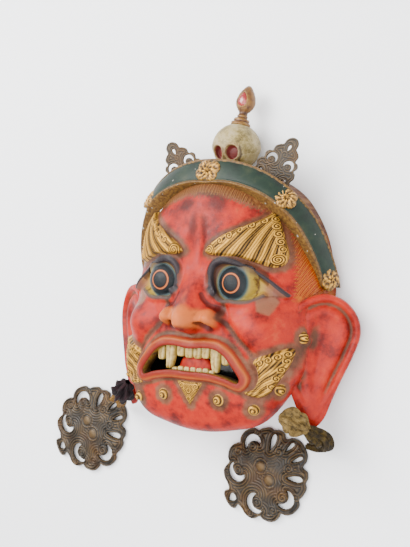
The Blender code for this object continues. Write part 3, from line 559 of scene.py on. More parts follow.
bm = bmesh.new()
outline = smooth_loop(EAR, 96)
heart = np.array((31.0, 46.0))
helix = [
    (0.0, 0.0), (1.0, 0.30), (3.5, 0.50), (7.0, 0.44), (10.0, 0.02), (12.0, 0.00), (16.0, 0.26),
    (21.0, 0.32),
]
helix += [(27.0, 0.10), (33.0, -0.05), (60.0, -0.05)]
ear_out = Vector((math.cos(EAR_SWEEP), 0.0, -math.sin(EAR_SWEEP)))
ear_up = Vector((math.sin(EAR_SWEEP), 0.0, math.cos(EAR_SWEEP)))
ear_root = Vector((EAR_ROOT[0], 0.0, EAR_ROOT[1]))
shades = []
for side in (1, -1):
    rings = []
    levels = [(0.02, -0.47), (0.5, -0.47), (0.9, -0.45), (0.985, -0.3)]
    for share, height in [*levels, *[(s, None) for s in np.linspace(1, 0.02, 36)]]:
        e, y = (heart + (outline - heart) * share).T
        deep = inside(e, y, outline)
        lobe = 1 - rise(-22, 12, y)
        top = through(helix, deep) * (1 - lobe) + (0.08 + 0.30 * rise(0, 9, deep)) * lobe
        top = top - 0.16 * hill(oval(e, y, (26, 60), (9, 24), -0.2), 1.0)
        top = top - 0.12 * hill(oval(e, y, (14, 18), (10, 16), -0.3), 1.0)
        level = top if height is None else np.full(len(e), height)
        ring = []
        for e0, y0, h in zip(e, y, level):
            place = ear_root + ear_out * e0 + ear_up * (h * EAR_THICKNESS)
            ring.append((side * place.x, y0, place.z))
        rings.append(ring)
        # The ear's helix groove and hollows, where the colour is painted darker: painted shade
        groove = hill(np.abs(deep - 11), 4.5) * (1 - lobe)
        groove = groove + 1.1 * hill(oval(e, y, (26, 58), (13, 30), -0.2), 1.0)
        groove = groove + 0.9 * hill(oval(e, y, (14, 16), (13, 20), -0.3), 1.0)
        shades += list(groove if height is None else np.zeros(len(e)))
    loft(bm, rings)
ears = finished(bm, "ears")
shades = np.array(shades)
# Painted shade in the ear's grooves and hollows, through the brown washes and the dark layer
write(ears.data, unpainted | {"smoke_and_shade": np.clip(0.8 * shades, 0, 1), "dark": 0.5 * np.clip(shades, 0, 1)})
cut_or_join(head, ears, "UNION")

bm = half_cube(31)
put(bm, head_form(directions_of([v.co for v in bm.verts]), WALL))
close_below(bm, WALL)
hollow = finished(bm, "hollow")
write(hollow.data, unpainted | {"hollow": 1.0})
cut_or_join(head, hollow, "DIFFERENCE")

bm = bmesh.new()
mouth_ring = smooth_loop(MOUTH, 160)
loft(bm, [[(x, y, z) for x, y in mouth_ring] for z in (HEAD_DEPTH - 3 * WALL, HEAD_DEPTH + 3 * WALL)])
opening = finished(bm, "mouth_opening")
write(opening.data, unpainted | {"lips": 0.0})
cut_or_join(head, opening, "DIFFERENCE")

# Light wood under distemper and a thin varnish: brick to scarlet red with a painted orange highlight on the
# nose and the lips' roll, painted shade in the creases and nostrils beside maroon patches, smoky brown washes
# round the relief that also paint shade along the fold and in the ears' hollows, and worn gold on brows and
# studs with painted shade in its cuts and a painted highlight on its ridges
red_paint, tree, shader = new_finish("painted_wood")
where = add(tree, "TexCoord", {}, "Object")
blotch = add(tree, "TexNoise", {"Vector": where, "Scale": 34.0, "Detail": 5.0, "Roughness": 0.62})
patch = add(tree, "TexNoise", {"Vector": where, "Scale": 130.0, "Detail": 4.0, "Roughness": 0.6})
grit = add(tree, "TexNoise", {"Vector": where, "Scale": 520.0, "Detail": 3.0, "Roughness": 0.6})
both_noises = add(tree, "Math", {0: patch, 1: 0.35, 2: blotch}, operation="MULTIPLY_ADD")
colour = add(
    tree,
    "ValToRGB",
    {"Fac": both_noises},
    stops=[(0.46, "#3A0805"), (0.58, "#680E06"), (0.68, "#8A1405"), (0.80, "#9A1E08"), (0.92, "#A03519")],
)
read = {}
for name in paint:
    read[name] = add(tree, "Attribute", {}, "Fac", attribute_name=name)
# The gold follows its carving: painted shade in the grooves and a painted highlight on the ridges
gold_level = add(tree, "Math", {0: grit, 1: 0.9, 2: read["carving"]}, operation="MULTIPLY_ADD")
gold = add(
    tree,
    "MapRange",
    {0: gold_level, 1: -0.6, 2: 1.5},
)
gold = add(
    tree,
    "ValToRGB",
    {"Fac": gold},
    stops=[(0.05, "#1A1106"), (0.3, "#4E350F"), (0.55, "#855E1D"), (0.85, "#BF8D33")],
)
strands = add(tree, "Math", {0: grit, 1: 1.4, 2: read["stroke"]}, operation="MULTIPLY_ADD")
strands = add(tree, "MapRange", {0: strands, 1: -0.6, 2: 2.0})
brown_hair = add(
    tree, "ValToRGB", {"Fac": strands}, stops=[(0.1, "#3B1D0C"), (0.5, "#5A3417"), (0.9, "#795328")]
)
orange_hair = add(
    tree, "ValToRGB", {"Fac": strands}, stops=[(0.1, "#682000"), (0.5, "#8B3700"), (0.9, "#975603")]
)
hair_colour = add(
    tree, "Mix", {0: read["temple"], 6: brown_hair, 7: orange_hair}, 2, data_type="RGBA"
)
# The orange stop at 0.62 lies on the top of the lip's roll: a painted highlight
lip_share = add(tree, "MapRange", {0: read["lips"], 1: -2.0, 2: 14.0})
lip_colour = add(
    tree,
    "ValToRGB",
    {"Fac": lip_share},
    stops=[
        (0.0, "#4D0A04"), (0.2, "#681507"), (0.38, "#6B1B0C"), (0.5, "#7A2A0B"), (0.62, "#8E4616"),
        (0.8, "#701A06"),
    ],
)
iris_share = add(tree, "MapRange", {0: read["iris"], 1: 0.0, 2: 24.5})
iris_colour = add(
    tree,
    "ValToRGB",
    {"Fac": iris_share},
    stops=[
        (0.0, "#15181A"),
        (0.32, "#101315"),
        (0.345, "#0F0806"),
        (0.39, "#250F09"),
        (0.41, "#995025"),
        (0.455, "#A05629"),
        (0.475, "#25110D"),
        (0.50, "#080C0F"),
        (0.70, "#0D1518"),
        (0.79, "#354848"),
        (0.86, "#7D7D3E"),
    ],
)
outer_share = add(tree, "Math", {0: patch, 1: 9.0, 2: read["outward"]}, operation="MULTIPLY_ADD")
outer_share = add(tree, "MapRange", {0: outer_share, 1: -18.0, 2: 54.0})
white_colour = add(
    tree,
    "ValToRGB",
    {"Fac": outer_share},
    stops=[
        (0.05, "#3B2218"), (0.3, "#563A21"), (0.52, "#7D6928"), (0.63, "#886E21"), (0.66, "#4C3315"),
        (0.69, "#8F7221"), (0.79, "#79512A"), (0.9, "#633C2F"),
    ],
)
beyond = add(tree, "MapRange", {0: read["iris"], 1: 18.5, 2: 21.5})
eye_colour = add(tree, "Mix", {0: beyond, 6: iris_colour, 7: white_colour}, 2, data_type="RGBA")
# Brown of the smoky washes and of the painted shade
smoke_and_shade_brown = add(
    tree, "ValToRGB", {"Fac": both_noises}, stops=[(0.52, "#342414"), (0.68, "#4A3522"), (0.85, "#5E4733")]
)

# Each layer: what it reads, where it starts and is full, how far it strays, how strong it is, its colour
for name, start, full, stray, strength, layer in (
    # painted highlight in orange on the nose and upper lip
    ("painted_highlight", 0.25, 0.95, 0.5, 0.9, paint_chart("#AB5620")),
    # smoky brown washes, and painted shade along the fold and in the ear hollows
    ("smoke_and_shade", 0.30, 0.85, 0.65, 0.85, smoke_and_shade_brown),
    # painted shade in the creases, nostrils and ear hollows, and maroon patches
    ("dark", 0.30, 0.90, 0.8, 0.8, paint_chart("#310B07")),
    ("hair", -1.5, 1.5, 6.0, 0.95, hair_colour),
    ("patch", -1.5, 2.0, 3.0, 0.85, paint_chart("#6F4731")),
    ("edge", 0.2, 0.8, 0.3, 0.95, paint_chart("#232013")),
    ("lips", 12.5, 10.5, 2.5, 0.95, lip_colour),
    ("eye", -1.0, 1.2, 1.0, 1.0, eye_colour),
    ("shade", 0.2, 0.9, 0.5, 0.85, paint_chart("#3B2419")),
    ("low_lid", 3.0, 1.4, 2.4, 0.8, paint_chart("#3A2E2A")),
    ("lid", 2.9, 2.2, 1.0, 0.95, paint_chart("#201B1E")),
    ("gilt", -0.6, 0.4, 1.6, 1.0, gold),
    ("hollow", 0.4, 0.6, 0.0, 1.0, paint_chart("#130C09")),
):
    strayed = add(tree, "Math", {0: patch, 1: 0.5}, operation="SUBTRACT")
    strayed = add(tree, "Math", {0: strayed, 1: stray, 2: read[name]}, operation="MULTIPLY_ADD")
    mask = add(
        tree,
        "MapRange",
        {0: strayed, 1: start, 2: full, 4: strength},
        interpolation_type="SMOOTHSTEP",
    )
    colour = add(tree, "Mix", {0: mask, 6: colour, 7: layer}, 2, data_type="RGBA")
    if name == "gilt":
        gold_mask = mask
grime = add(tree, "MapRange", {0: patch, 1: 0.60, 2: 0.78, 4: 0.35})
colour = add(tree, "Mix", {0: grime, 6: colour, 7: paint_chart("#43281B")}, 2, data_type="RGBA")
tree.links.new(colour, shader.inputs["Base Color"])
tree.links.new(
    add(tree, "Math", {0: gold_mask, 1: 0.4}, operation="MULTIPLY"), shader.inputs["Metallic"]
)
tree.links.new(
    add(tree, "MapRange", {0: patch, 1: 0.3, 2: 0.7, 3: 0.42, 4: 0.62}), shader.inputs["Roughness"]
)
rough_height = add(tree, "Math", {0: patch, 1: 0.6, 2: grit}, operation="MULTIPLY_ADD")
bump = add(tree, "Bump", {"Strength": 0.35, "Distance": 0.0006, "Height": rough_height})
tree.links.new(bump, shader.inputs["Normal"])
shader.inputs["Specular IOR Level"].default_value = 0.2

head.data.materials.clear()
head.data.materials.append(red_paint)
head.data.shade_smooth()
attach(head, "root")
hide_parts("mask")


# Teeth and tongue
# Carved of the same block and painted cream, with painted shade in the gaps between the teeth; two long curved
# fangs hang from the upper jaw, and a red tongue lies behind the low front teeth.
TOOTH_THICKNESS, FANG_LENGTH = 7.0, 30.0
tooth_back = HEAD_DEPTH - 0.4 * WALL


def tooth(bm, middle, size, taper=0.85, curve=0.0, groove=0.3):
    """One rounded tooth: its middle and size in millimetres, narrower at its tip by the taper."""
    one = bmesh.new()
    bmesh.ops.create_cube(one, size=2.0)
    bmesh.ops.subdivide_edges(one, edges=one.edges[:], cuts=7, use_grid_fill=True)
    for v in one.verts:
        x, y, z = v.co
        length = (abs(x) ** 4 + abs(y) ** 4 + abs(z) ** 4) ** 0.25
        x, y, z = x / length, y / length, z / length
        narrow = taper + (1 - taper) * 0.5 * (1 + y)
        z = z * (0.75 + 0.25 * narrow) - groove * 0.2 * math.cos(2.2 * x * math.pi) * (z > 0)
        low = max(0.0, -y)
        place = Vector((x * size[0] / 2 * narrow + curve * low**2, y * size[1] / 2, z * size[2] / 2))
        v.co = (Vector(middle) + place) * 0.001
    mesh = bpy.data.meshes.new("tooth")
    one.to_mesh(mesh)
    one.free()
    bm.from_mesh(mesh)
    bpy.data.meshes.remove(mesh)


bm = bmesh.new()
front_z = tooth_back - TOOTH_THICKNESS / 2
for x, width, tip in ((5.7, 11.4, 28.5), (17, 11.2, 29.5), (43.5, 10.5, 24)):
    for side in (-1, 1):
        high = 45 if x < 40 else 42
        tooth(
            bm, (side * x, (tip + high) / 2, front_z + 1.2), (width, high - tip, TOOTH_THICKNESS + 2.2), 0.86
        )
for side in (-1, 1):
    tooth(
        bm,
        (side * 30.5, 44.5 - FANG_LENGTH / 2, front_z + 2.2),
        (15.5, FANG_LENGTH, 10),
        0.55,
        side * 1.5,
        0.8,
    )
for k in range(-2, 3):
    tooth(bm, (k * 8.5, 12.0, front_z), (8.4, 13, TOOTH_THICKNESS), 1.0)
for side in (-1, 1):
    tooth(bm, (side * 25.5, 11.0, front_z), (8.4, 12, TOOTH_THICKNESS), 1.0)
teeth = finished(bm, "teeth")
bm = bmesh.new()
bmesh.ops.create_uvsphere(bm, u_segments=40, v_segments=24, radius=1.0)
for v in bm.verts:
    x, y, z = v.co
    dip = 0.14 * math.exp(-((x / 0.18) ** 2)) * max(z, 0.0)
    v.co = Vector((23 * x, 14 + 22 * y, HEAD_DEPTH - WALL - 2 + 8 * (z - dip))) * 0.001
tongue = finished(bm, "tongue")

# Painted teeth: cream distemper over white ground with brown stains, painted shade in the hollows and gaps
# between them, lighter rounded edges
cream, tree, shader = new_finish("tooth_paint")
where = add(tree, "TexCoord", {}, "Object")
stain = add(tree, "TexNoise", {"Vector": where, "Scale": 210.0, "Detail": 4.0, "Roughness": 0.6})
# Pointiness: painted shade in the hollows and between the teeth, lighter on the rounded edges
pits = add(tree, "NewGeometry", {}, "Pointiness")
pits = add(tree, "Math", {0: pits, 1: 2.2, 2: stain}, operation="MULTIPLY_ADD")
colour = add(
    tree,
    "ValToRGB",
    {"Fac": add(tree, "MapRange", {0: pits, 1: 1.2, 2: 2.0})},
    stops=[(0.05, "#3E2609"), (0.3, "#705211"), (0.5, "#967B38"), (0.9, "#B39F62")],
)
tree.links.new(colour, shader.inputs["Base Color"])
shader.inputs["Roughness"].default_value = 0.42
bump = add(tree, "Bump", {"Strength": 0.3, "Distance": 0.0005, "Height": stain})
tree.links.new(bump, shader.inputs["Normal"])
teeth.data.materials.append(cream)

# Tongue: the same red as the lips, glossier
tongue_red, tree, shader = new_finish("tongue_paint")
where = add(tree, "TexCoord", {}, "Object")
mottle = add(tree, "TexNoise", {"Vector": where, "Scale": 160.0, "Detail": 4.0})
colour = add(
    tree, "ValToRGB", {"Fac": mottle}, stops=[(0.3, "#5A0603"), (0.5, "#7C1306"), (0.75, "#8E2311")]
)
tree.links.new(colour, shader.inputs["Base Color"])
shader.inputs["Roughness"].default_value = 0.5
shader.inputs["Specular IOR Level"].default_value = 0.15
tongue.data.materials.append(tongue_red)
for piece in (teeth, tongue):
    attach(piece, "root")


# Moulded band with its gilt flowers
# A rounded band carved round the crown of the same block, painted dark green inside two brown lines, with
# five carved and gilded flowers: one over the forehead, two at the sides, and curls at the ends.
BAND_WIDTH, BAND_THICKNESS, BAND_SWEEP = 30.0, 15.0, 92.0
FLORET_RADIUS, FLORET_HEIGHT = 13.5, 5.0


def band_place(turn):
    """Middle of the band's face at an angle round the crown, the direction across it, and its facing."""
    share = abs(turn) / BAND_SWEEP
    radius = float(
        through([(0.0, 123), (0.25, 127), (0.49, 131), (0.62, 131), (0.78, 129), (1.0, 129)], share)
    )
    height = float(through([(0.0, 92), (0.25, 87), (0.49, 73), (0.62, 59), (0.78, 43), (1.0, 21)], share))
    lean = float(through([(0.0, 14), (0.25, 30), (0.49, 48), (0.62, 57), (0.78, 67), (1.0, 72)], share))
    lean, turn = math.radians(lean), math.radians(turn)
    outward = Vector((math.sin(turn), math.cos(turn), 0.0))
    across = outward * math.cos(lean) - Vector((0.0, 0.0, math.sin(lean)))
    facing = outward * math.sin(lean) + Vector((0.0, 0.0, math.cos(lean)))
    return Vector((0.0, HAIR_CENTRE, 0.0)) + outward * radius + Vector((0.0, 0.0, height)), across, facing


section = [(-15.0, -3.0), (-15.0, -0.6), (-14.5, 0.6), (-13.6, 0.9), (-12.7, 0.5), (-12.2, 0.1), (-11.6, 0.6)]
section += [
    (-10.9, 0.7), (-10.2, 0.3), (-9.6, 0.5), (-7.5, 1.1), (-4.0, 1.5), (0.0, 1.6), (4.0, 1.5), (7.5, 1.1),
]
section += [(10.5, 0.5), (11.3, 0.2), (12.0, 0.6), (13.2, 0.8), (14.3, 0.4), (15.0, -0.8), (14.6, -4.0)]
section += [(12.0, -15.0), (-15.0, -15.0)]
bm = bmesh.new()
rings = []
across_all, along_all = [], []
for turn in np.linspace(-BAND_SWEEP, BAND_SWEEP, 241):
    middle, across, facing = band_place(turn)
    rings.append([middle + across * a + facing * f for a, f in section])
    across_all += [a for a, f in section]
    along_all += [turn * 2.2] * len(section)
loft(bm, rings)
band = finished(bm, "crown_band")
band.data.set_sharp_from_angle(angle=math.radians(50))
write(band.data, {"across": across_all, "along": along_all})

bm = bmesh.new()
heights, outs = [], []
for number, turn in enumerate((-88, -45, 0, 45, 88)):
    middle, across, facing = band_place(turn)
    sideways = across.cross(facing)
    petals = 5 if abs(turn) == 45 else 4 if turn == 0 else 3
    rings = [
        [
            middle
            + (sideways * math.cos(a) + across * math.sin(a)) * FLORET_RADIUS * 0.9
            - facing * 6.0
            for a in np.linspace(0, 2 * math.pi, 120, endpoint=False)
        ]
    ]
    heights += [-1.0] * 120
    for share in np.linspace(1.0, 0.03, 30):
        ring = []
        for a in np.linspace(0, 2 * math.pi, 120, endpoint=False):
            lobes = abs(math.cos(petals * a / 2 + number))
            wide = 1.0 + 0.22 * (turn == 0) * abs(math.cos(a)) - 0.12 * (turn == 0) * abs(math.sin(a))
            radius = FLORET_RADIUS * (0.80 + 0.26 * lobes**0.6) * share * wide
            leaf = math.cos(2 * petals * a + 7.5 * share + number)
            leaf *= math.sin(math.pi * min(1.0, share * 1.05)) ** 0.7
            veins = math.cos(5 * petals * a - 9 * share) * share
            curl = math.cos(2 * math.pi * share * 2.2 - a)
            carved = 0.55 * leaf + 0.25 * veins + 0.45 * curl * (share < 0.55)
            pillow = (1 - share**3) ** 0.5
            height = 0.4 + 0.62 * FLORET_HEIGHT * pillow + 1.25 * carved * min(1.0, 6 * (1 - share))
            ring.append(middle + (sideways * math.cos(a) + across * math.sin(a)) * radius + facing * height)
            heights.append(carved)
        rings.append(ring)
    loft(bm, rings)
florets = finished(bm, "gilt_flowers")
write(florets.data, {"carving": heights})

# Dark malachite green distemper, a little glossy, rubbed to brown ground along the edges and chipped to
# the white priming near the outer one
green_paint, tree, shader = new_finish("green_band_paint")
where = add(tree, "TexCoord", {}, "Object")
blotch = add(tree, "TexNoise", {"Vector": where, "Scale": 45.0, "Detail": 5.0, "Roughness": 0.6})
grain = add(tree, "TexNoise", {"Vector": where, "Scale": 330.0, "Detail": 3.0})
colour = add(
    tree, "ValToRGB", {"Fac": blotch}, stops=[(0.3, "#0C150D"), (0.5, "#112116"), (0.7, "#262D1C")]
)
across = add(tree, "Attribute", {}, "Fac", attribute_name="across")
frayed = add(tree, "Math", {0: grain, 1: 2.4, 2: across}, operation="MULTIPLY_ADD")
brown = add(
    tree, "ValToRGB", {"Fac": grain}, stops=[(0.3, "#3A2713"), (0.5, "#593D19"), (0.7, "#6E5121")]
)
for start, full in ((-10.0, -11.2), (12.2, 13.6)):
    mask = add(tree, "MapRange", {0: frayed, 1: start, 2: full}, interpolation_type="SMOOTHSTEP")
    colour = add(tree, "Mix", {0: mask, 6: colour, 7: brown}, 2, data_type="RGBA")
chips = add(tree, "TexNoise", {"Vector": where, "Scale": 190.0, "Detail": 1.0})
edge = add(tree, "MapRange", {0: across, 1: -12.0, 2: -6.0, 3: 1.0, 4: 0.0})
chips = add(tree, "Math", {0: edge, 1: 0.06, 2: chips}, operation="MULTIPLY_ADD")
mask = add(tree, "MapRange", {0: chips, 1: 0.79, 2: 0.80})
colour = add(tree, "Mix", {0: mask, 6: colour, 7: paint_chart("#88847A")}, 2, data_type="RGBA")
tree.links.new(colour, shader.inputs["Base Color"])
shader.inputs["Roughness"].default_value = 0.55
shader.inputs["Specular IOR Level"].default_value = 0.25
bump = add(tree, "Bump", {"Strength": 0.3, "Distance": 0.0005, "Height": grain})
tree.links.new(bump, shader.inputs["Normal"])
band.data.materials.append(green_paint)

# Leaf gold over red-brown bole: a painted highlight on the ridges and painted shade in the cuts
leaf_gold, tree, shader = new_finish("gilding_worn_and_shaded")
where = add(tree, "TexCoord", {}, "Object")
grit = add(tree, "TexNoise", {"Vector": where, "Scale": 420.0, "Detail": 3.0})
carving = add(tree, "Attribute", {}, "Fac", attribute_name="carving")
level = add(tree, "Math", {0: grit, 1: 0.9, 2: carving}, operation="MULTIPLY_ADD")
level = add(tree, "MapRange", {0: level, 1: -0.4, 2: 1.3})
colour = add(
    tree,
    "ValToRGB",
    {"Fac": level},
    stops=[(0.05, "#1A1106"), (0.3, "#4E350F"), (0.55, "#855E1D"), (0.85, "#BF8D33")],
)
tree.links.new(colour, shader.inputs["Base Color"])
shader.inputs["Metallic"].default_value = 0.45
shader.inputs["Roughness"].default_value = 0.4
bump = add(tree, "Bump", {"Strength": 0.3, "Distance": 0.0004, "Height": grit})
tree.links.new(bump, shader.inputs["Normal"])
florets.data.materials.append(leaf_gold)
for piece in (band, florets):
    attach(piece, "root")


# Skull
# A small skull carved in the round and pegged on the crown, painted bone cream over a white ground with
# brick-red sockets; its grain and cracks show through the paint.
SKULL_WIDTH, SKULL_HEIGHT, SKULL_Z = 59.0, 60.0, 32.0
finial_lean = Vector((0.12, 1.0, -0.16)).normalized()
bm = bmesh.new()
bmesh.ops.create_uvsphere(bm, u_segments=132, v_segments=88, radius=1.0)
p = np.array([v.co for v in bm.verts])
x, y, z = p.T.copy()
side = np.abs(x)
front = rise(0.1, 0.5, z)
jaw = 1.0 - 0.28 * (1.0 - rise(-0.8, 0.1, y))
socket = oval(side, y, (0.34, -0.25), (0.25, 0.28))
nose = oval(x, y, (0.0, -0.56), (0.12, 0.20))
seam = along_line(x, y, [(0.62, -0.02), (0.70, -0.3), (0.60, -0.52), (0.66, -0.7)])
z = z - 0.26 * (1 - rise(0.72, 1.08, socket)) * front + 0.035 * hill(np.abs(socket - 1.15), 0.25) * front
z = z - 0.20 * hill(nose, 1.0) * front
z = z - 0.05 * hill(seam, 0.06) * front
x = x + np.sign(x) * 0.05 * hill(oval(side, y, (0.72, -0.42), (0.3, 0.2)), 1.0)
middle = np.array([0.0, CROWN_Y - 4.0 + SKULL_HEIGHT / 2, SKULL_Z])
points = np.stack([x * jaw * SKULL_WIDTH / 2, y * SKULL_HEIGHT / 2, z * SKULL_WIDTH / 2], axis=1)
lean = np.array(finial_lean)
top = 0.91 * SKULL_HEIGHT / 2
points = points - np.maximum(points @ lean - top, 0.0)[:, None] * lean
put(bm, middle + points)
skull = finished(bm, "skull_carving")
write(skull.data, {"socket": np.where(z > -0.2, socket, 9.0), "seam": np.where(z > 0, seam, 9.0)})
shift = np.array([-2.0, 0.0, 0.0])
finial_base = Vector(middle + lean * (top + 0.3 - shift @ lean) + shift)

# Bone-cream distemper, cracked and stained yellow-brown
bone, tree, shader = new_finish("painted_skull")
where = add(tree, "TexCoord", {}, "Object")
blotch = add(tree, "TexNoise", {"Vector": where, "Scale": 75.0, "Detail": 6.0, "Roughness": 0.65})
speck = add(tree, "TexNoise", {"Vector": where, "Scale": 480.0, "Detail": 3.0, "Roughness": 0.7})
level = add(tree, "Math", {0: speck, 1: 0.45, 2: blotch}, operation="MULTIPLY_ADD")
colour = add(
    tree,
    "ValToRGB",
    {"Fac": level},
    stops=[(0.5, "#443411"), (0.62, "#695928"), (0.74, "#887747"), (0.88, "#958663")],
)
socket = add(tree, "Attribute", {}, "Fac", attribute_name="socket")
red = add(tree, "ValToRGB", {"Fac": blotch}, stops=[(0.35, "#521715"), (0.6, "#6F231A")])
pink = add(tree, "MapRange", {0: socket, 1: 1.7, 2: 0.9, 4: 0.35}, interpolation_type="SMOOTHSTEP")
colour = add(tree, "Mix", {0: pink, 6: colour, 7: paint_chart("#7C523E")}, 2, data_type="RGBA")
mask = add(tree, "MapRange", {0: socket, 1: 1.0, 2: 0.92}, interpolation_type="SMOOTHSTEP")
colour = add(tree, "Mix", {0: mask, 6: colour, 7: red}, 2, data_type="RGBA")
seam = add(tree, "Attribute", {}, "Fac", attribute_name="seam")
seam = add(tree, "Math", {0: speck, 1: 0.08, 2: seam}, operation="MULTIPLY_ADD")
mask = add(tree, "MapRange", {0: seam, 1: 0.09, 2: 0.05, 4: 0.8}, interpolation_type="SMOOTHSTEP")
colour = add(tree, "Mix", {0: mask, 6: colour, 7: paint_chart("#2D1F0F")}, 2, data_type="RGBA")
tree.links.new(colour, shader.inputs["Base Color"])
shader.inputs["Roughness"].default_value = 0.55
bump = add(tree, "Bump", {"Strength": 0.35, "Distance": 0.0006, "Height": level})
tree.links.new(bump, shader.inputs["Normal"])
skull.data.materials.append(bone)
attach(skull, "root")
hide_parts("skull")


# Finial
# Turned collar and neck with a carved jewel bud, of gilded wood, pegged into the top of the skull; a red
# glass-like painted drop is set in the front of the bud in a gilt rim.
FINIAL_LENGTH, FINIAL_WIDTH = 51.0, 24.0
profile = [(0.49, 0.00), (0.50, 0.03), (0.49, 0.07), (0.42, 0.085), (0.37, 0.10), (0.40, 0.12), (0.40, 0.15)]
profile += [
    (0.37, 0.17), (0.29, 0.185), (0.25, 0.21), (0.27, 0.225), (0.28, 0.24), (0.24, 0.255), (0.22, 0.30),
]
profile += [(0.23, 0.34), (0.30, 0.37), (0.36, 0.41), (0.43, 0.46), (0.48, 0.52), (0.50, 0.58), (0.48, 0.65)]
profile += [(0.43, 0.74), (0.33, 0.84), (0.20, 0.93), (0.08, 0.985)]
place = Matrix.Translation(finial_base * 0.001) @ finial_lean.to_track_quat("Z", "Y").to_matrix().to_4x4()
bm = bmesh.new()
rings = []
for radius, height in profile:
    ring = []
    for a in np.linspace(0, 2 * math.pi, 48, endpoint=False):
        flat = 1.0 - 0.22 * float(rise(0.36, 0.5, height)) * abs(math.sin(a)) ** 3
        out = radius * FINIAL_WIDTH
        ring.append((math.cos(a) * out, math.sin(a) * out * flat, height * FINIAL_LENGTH))
    rings.append(ring)
loft(bm, rings)
bmesh.ops.transform(bm, matrix=place, verts=bm.verts[:])
finial = finished(bm, "turned_finial")
front_side = place.to_3x3().inverted() @ Vector((0.0, 0.0, 1.0))
front_turn = math.atan2(front_side.y, front_side.x)


def jewel_ring(share, height):
    """One ring of the teardrop jewel on the bud's front, at a share of its size and a height above the bud."""
    ring = []
    for t in np.linspace(0, 2 * math.pi, 48, endpoint=False):
        across_bud = 0.43 * FINIAL_WIDTH * share * math.sin(t) * (0.72 - 0.28 * math.cos(t))
        up_bud = (0.62 + 0.21 * share * math.cos(t)) * FINIAL_LENGTH
        reach = 0.385 * FINIAL_WIDTH - 0.9 * (across_bud / 6.0) ** 2
        reach += height - 1.5 * ((up_bud - 0.6 * FINIAL_LENGTH) / 10.0) ** 2
        c, s = math.cos(front_turn), math.sin(front_turn)
        ring.append((c * reach - s * across_bud, s * reach + c * across_bud, up_bud))
    return ring


bm = bmesh.new()
loft(bm, [jewel_ring(*at) for at in ((1.0, -3.0), (1.0, 0.2), (0.92, 0.9), (0.82, 0.7), (0.78, -0.4))])
bmesh.ops.transform(bm, matrix=place, verts=bm.verts[:])
bezel = finished(bm, "jewel_rim")
bm = bmesh.new()
rings = [jewel_ring(0.78, -3.0), jewel_ring(0.78, 0.0)]
rings += [jewel_ring(0.78 * math.cos(a), 1.4 * math.sin(a)) for a in (0.25, 0.5, 0.8, 1.1, 1.35, 1.5)]
loft(bm, rings)
bmesh.ops.transform(bm, matrix=place, verts=bm.verts[:])
jewel = finished(bm, "red_jewel")

# Gilt and bronzed wood, rubbed to copper brown, with painted shade in the hollows and a painted highlight on
# the edges
bronzed, tree, shader = new_finish("bronzed_wood")
where = add(tree, "TexCoord", {}, "Object")
rub = add(tree, "TexNoise", {"Vector": where, "Scale": 160.0, "Detail": 4.0})
# Pointiness: painted shade in the hollows and a painted highlight on the edges
pits = add(tree, "NewGeometry", {}, "Pointiness")
level = add(tree, "Math", {0: pits, 1: 3.0, 2: rub}, operation="MULTIPLY_ADD")
colour = add(
    tree,
    "ValToRGB",
    {"Fac": add(tree, "MapRange", {0: level, 1: 1.6, 2: 2.4})},
    stops=[(0.1, "#2D1B10"), (0.4, "#503117"), (0.65, "#6C481A"), (0.9, "#7E5D26")],
)
tree.links.new(colour, shader.inputs["Base Color"])
shader.inputs["Metallic"].default_value = 0.35
shader.inputs["Roughness"].default_value = 0.45
bump = add(tree, "Bump", {"Strength": 0.25, "Distance": 0.0004, "Height": rub})
tree.links.new(bump, shader.inputs["Normal"])
finial.data.materials.append(bronzed)
bezel.data.materials.append(bronzed)

# Red lacquer over foil: deep and glossy, mottled
lacquer, tree, shader = new_finish("red_jewel_lacquer")
where = add(tree, "TexCoord", {}, "Object")
cloud = add(tree, "TexNoise", {"Vector": where, "Scale": 90.0, "Detail": 2.0})
colour = add(
    tree, "ValToRGB", {"Fac": cloud}, stops=[(0.3, "#6B0910"), (0.6, "#881C18"), (0.8, "#92392A")]
)
tree.links.new(colour, shader.inputs["Base Color"])
shader.inputs["Roughness"].default_value = 0.22
shader.inputs["Coat Weight"].default_value = 0.5
jewel.data.materials.append(lacquer)
for piece in (finial, bezel, jewel):
    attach(piece, "root")
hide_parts("finial")


# Crown plates and ear pendants
# Pierced and chased sheet brass with a brown patina: two leaf-shaped plates stand in slots in the crown on
# either side of the skull, and two palmettes with scrolls and bosses hang from the ears by silk ties.
BRASS_THICKNESS = 2.4
CROWN_PLATE_HEIGHT, CROWN_PLATE_WIDTH, CROWN_PLATE_Z, CROWN_PLATE_TURN = 46.0, 54.0, 47.0, math.radians(26)
PENDANT_LENGTH, PENDANT_WIDTH, PENDANT_DOME = 130.0, 114.0, 9.0


def teardrop(x, y, length, width, turn, count=24):
    """A teardrop opening, round at its far end, at a place and a turn."""
    t = 2 * np.pi * np.arange(count) / count
    u = 0.5 * length * np.cos(t)
    v = 0.5 * width * np.sin(t) * (0.35 + 0.65 * (0.5 + 0.5 * np.cos(t)))
    return list(zip(x + u * math.cos(turn) - v * math.sin(turn), y + u * math.sin(turn) + v * math.cos(turn)))


def crescent(x, y, radius, width, start, end, count=14):
    """A curved slot with pointed ends, round a centre."""
    t = np.linspace(0, 1, count + 1)
    turn = start + (end - start) * t
    half = 0.5 * width * np.sin(np.pi * t) ** 0.7
    outer = list(zip(x + (radius + half) * np.cos(turn), y + (radius + half) * np.sin(turn)))
    inner = list(zip(x + (radius - half) * np.cos(turn), y + (radius - half) * np.sin(turn)))
    return outer + inner[-2:0:-1]


def mirrored(shape):
    """A shape and its mirror image on the other side of the ornament's long axis."""
    return [shape, [(-x, y) for x, y in reversed(shape)]]


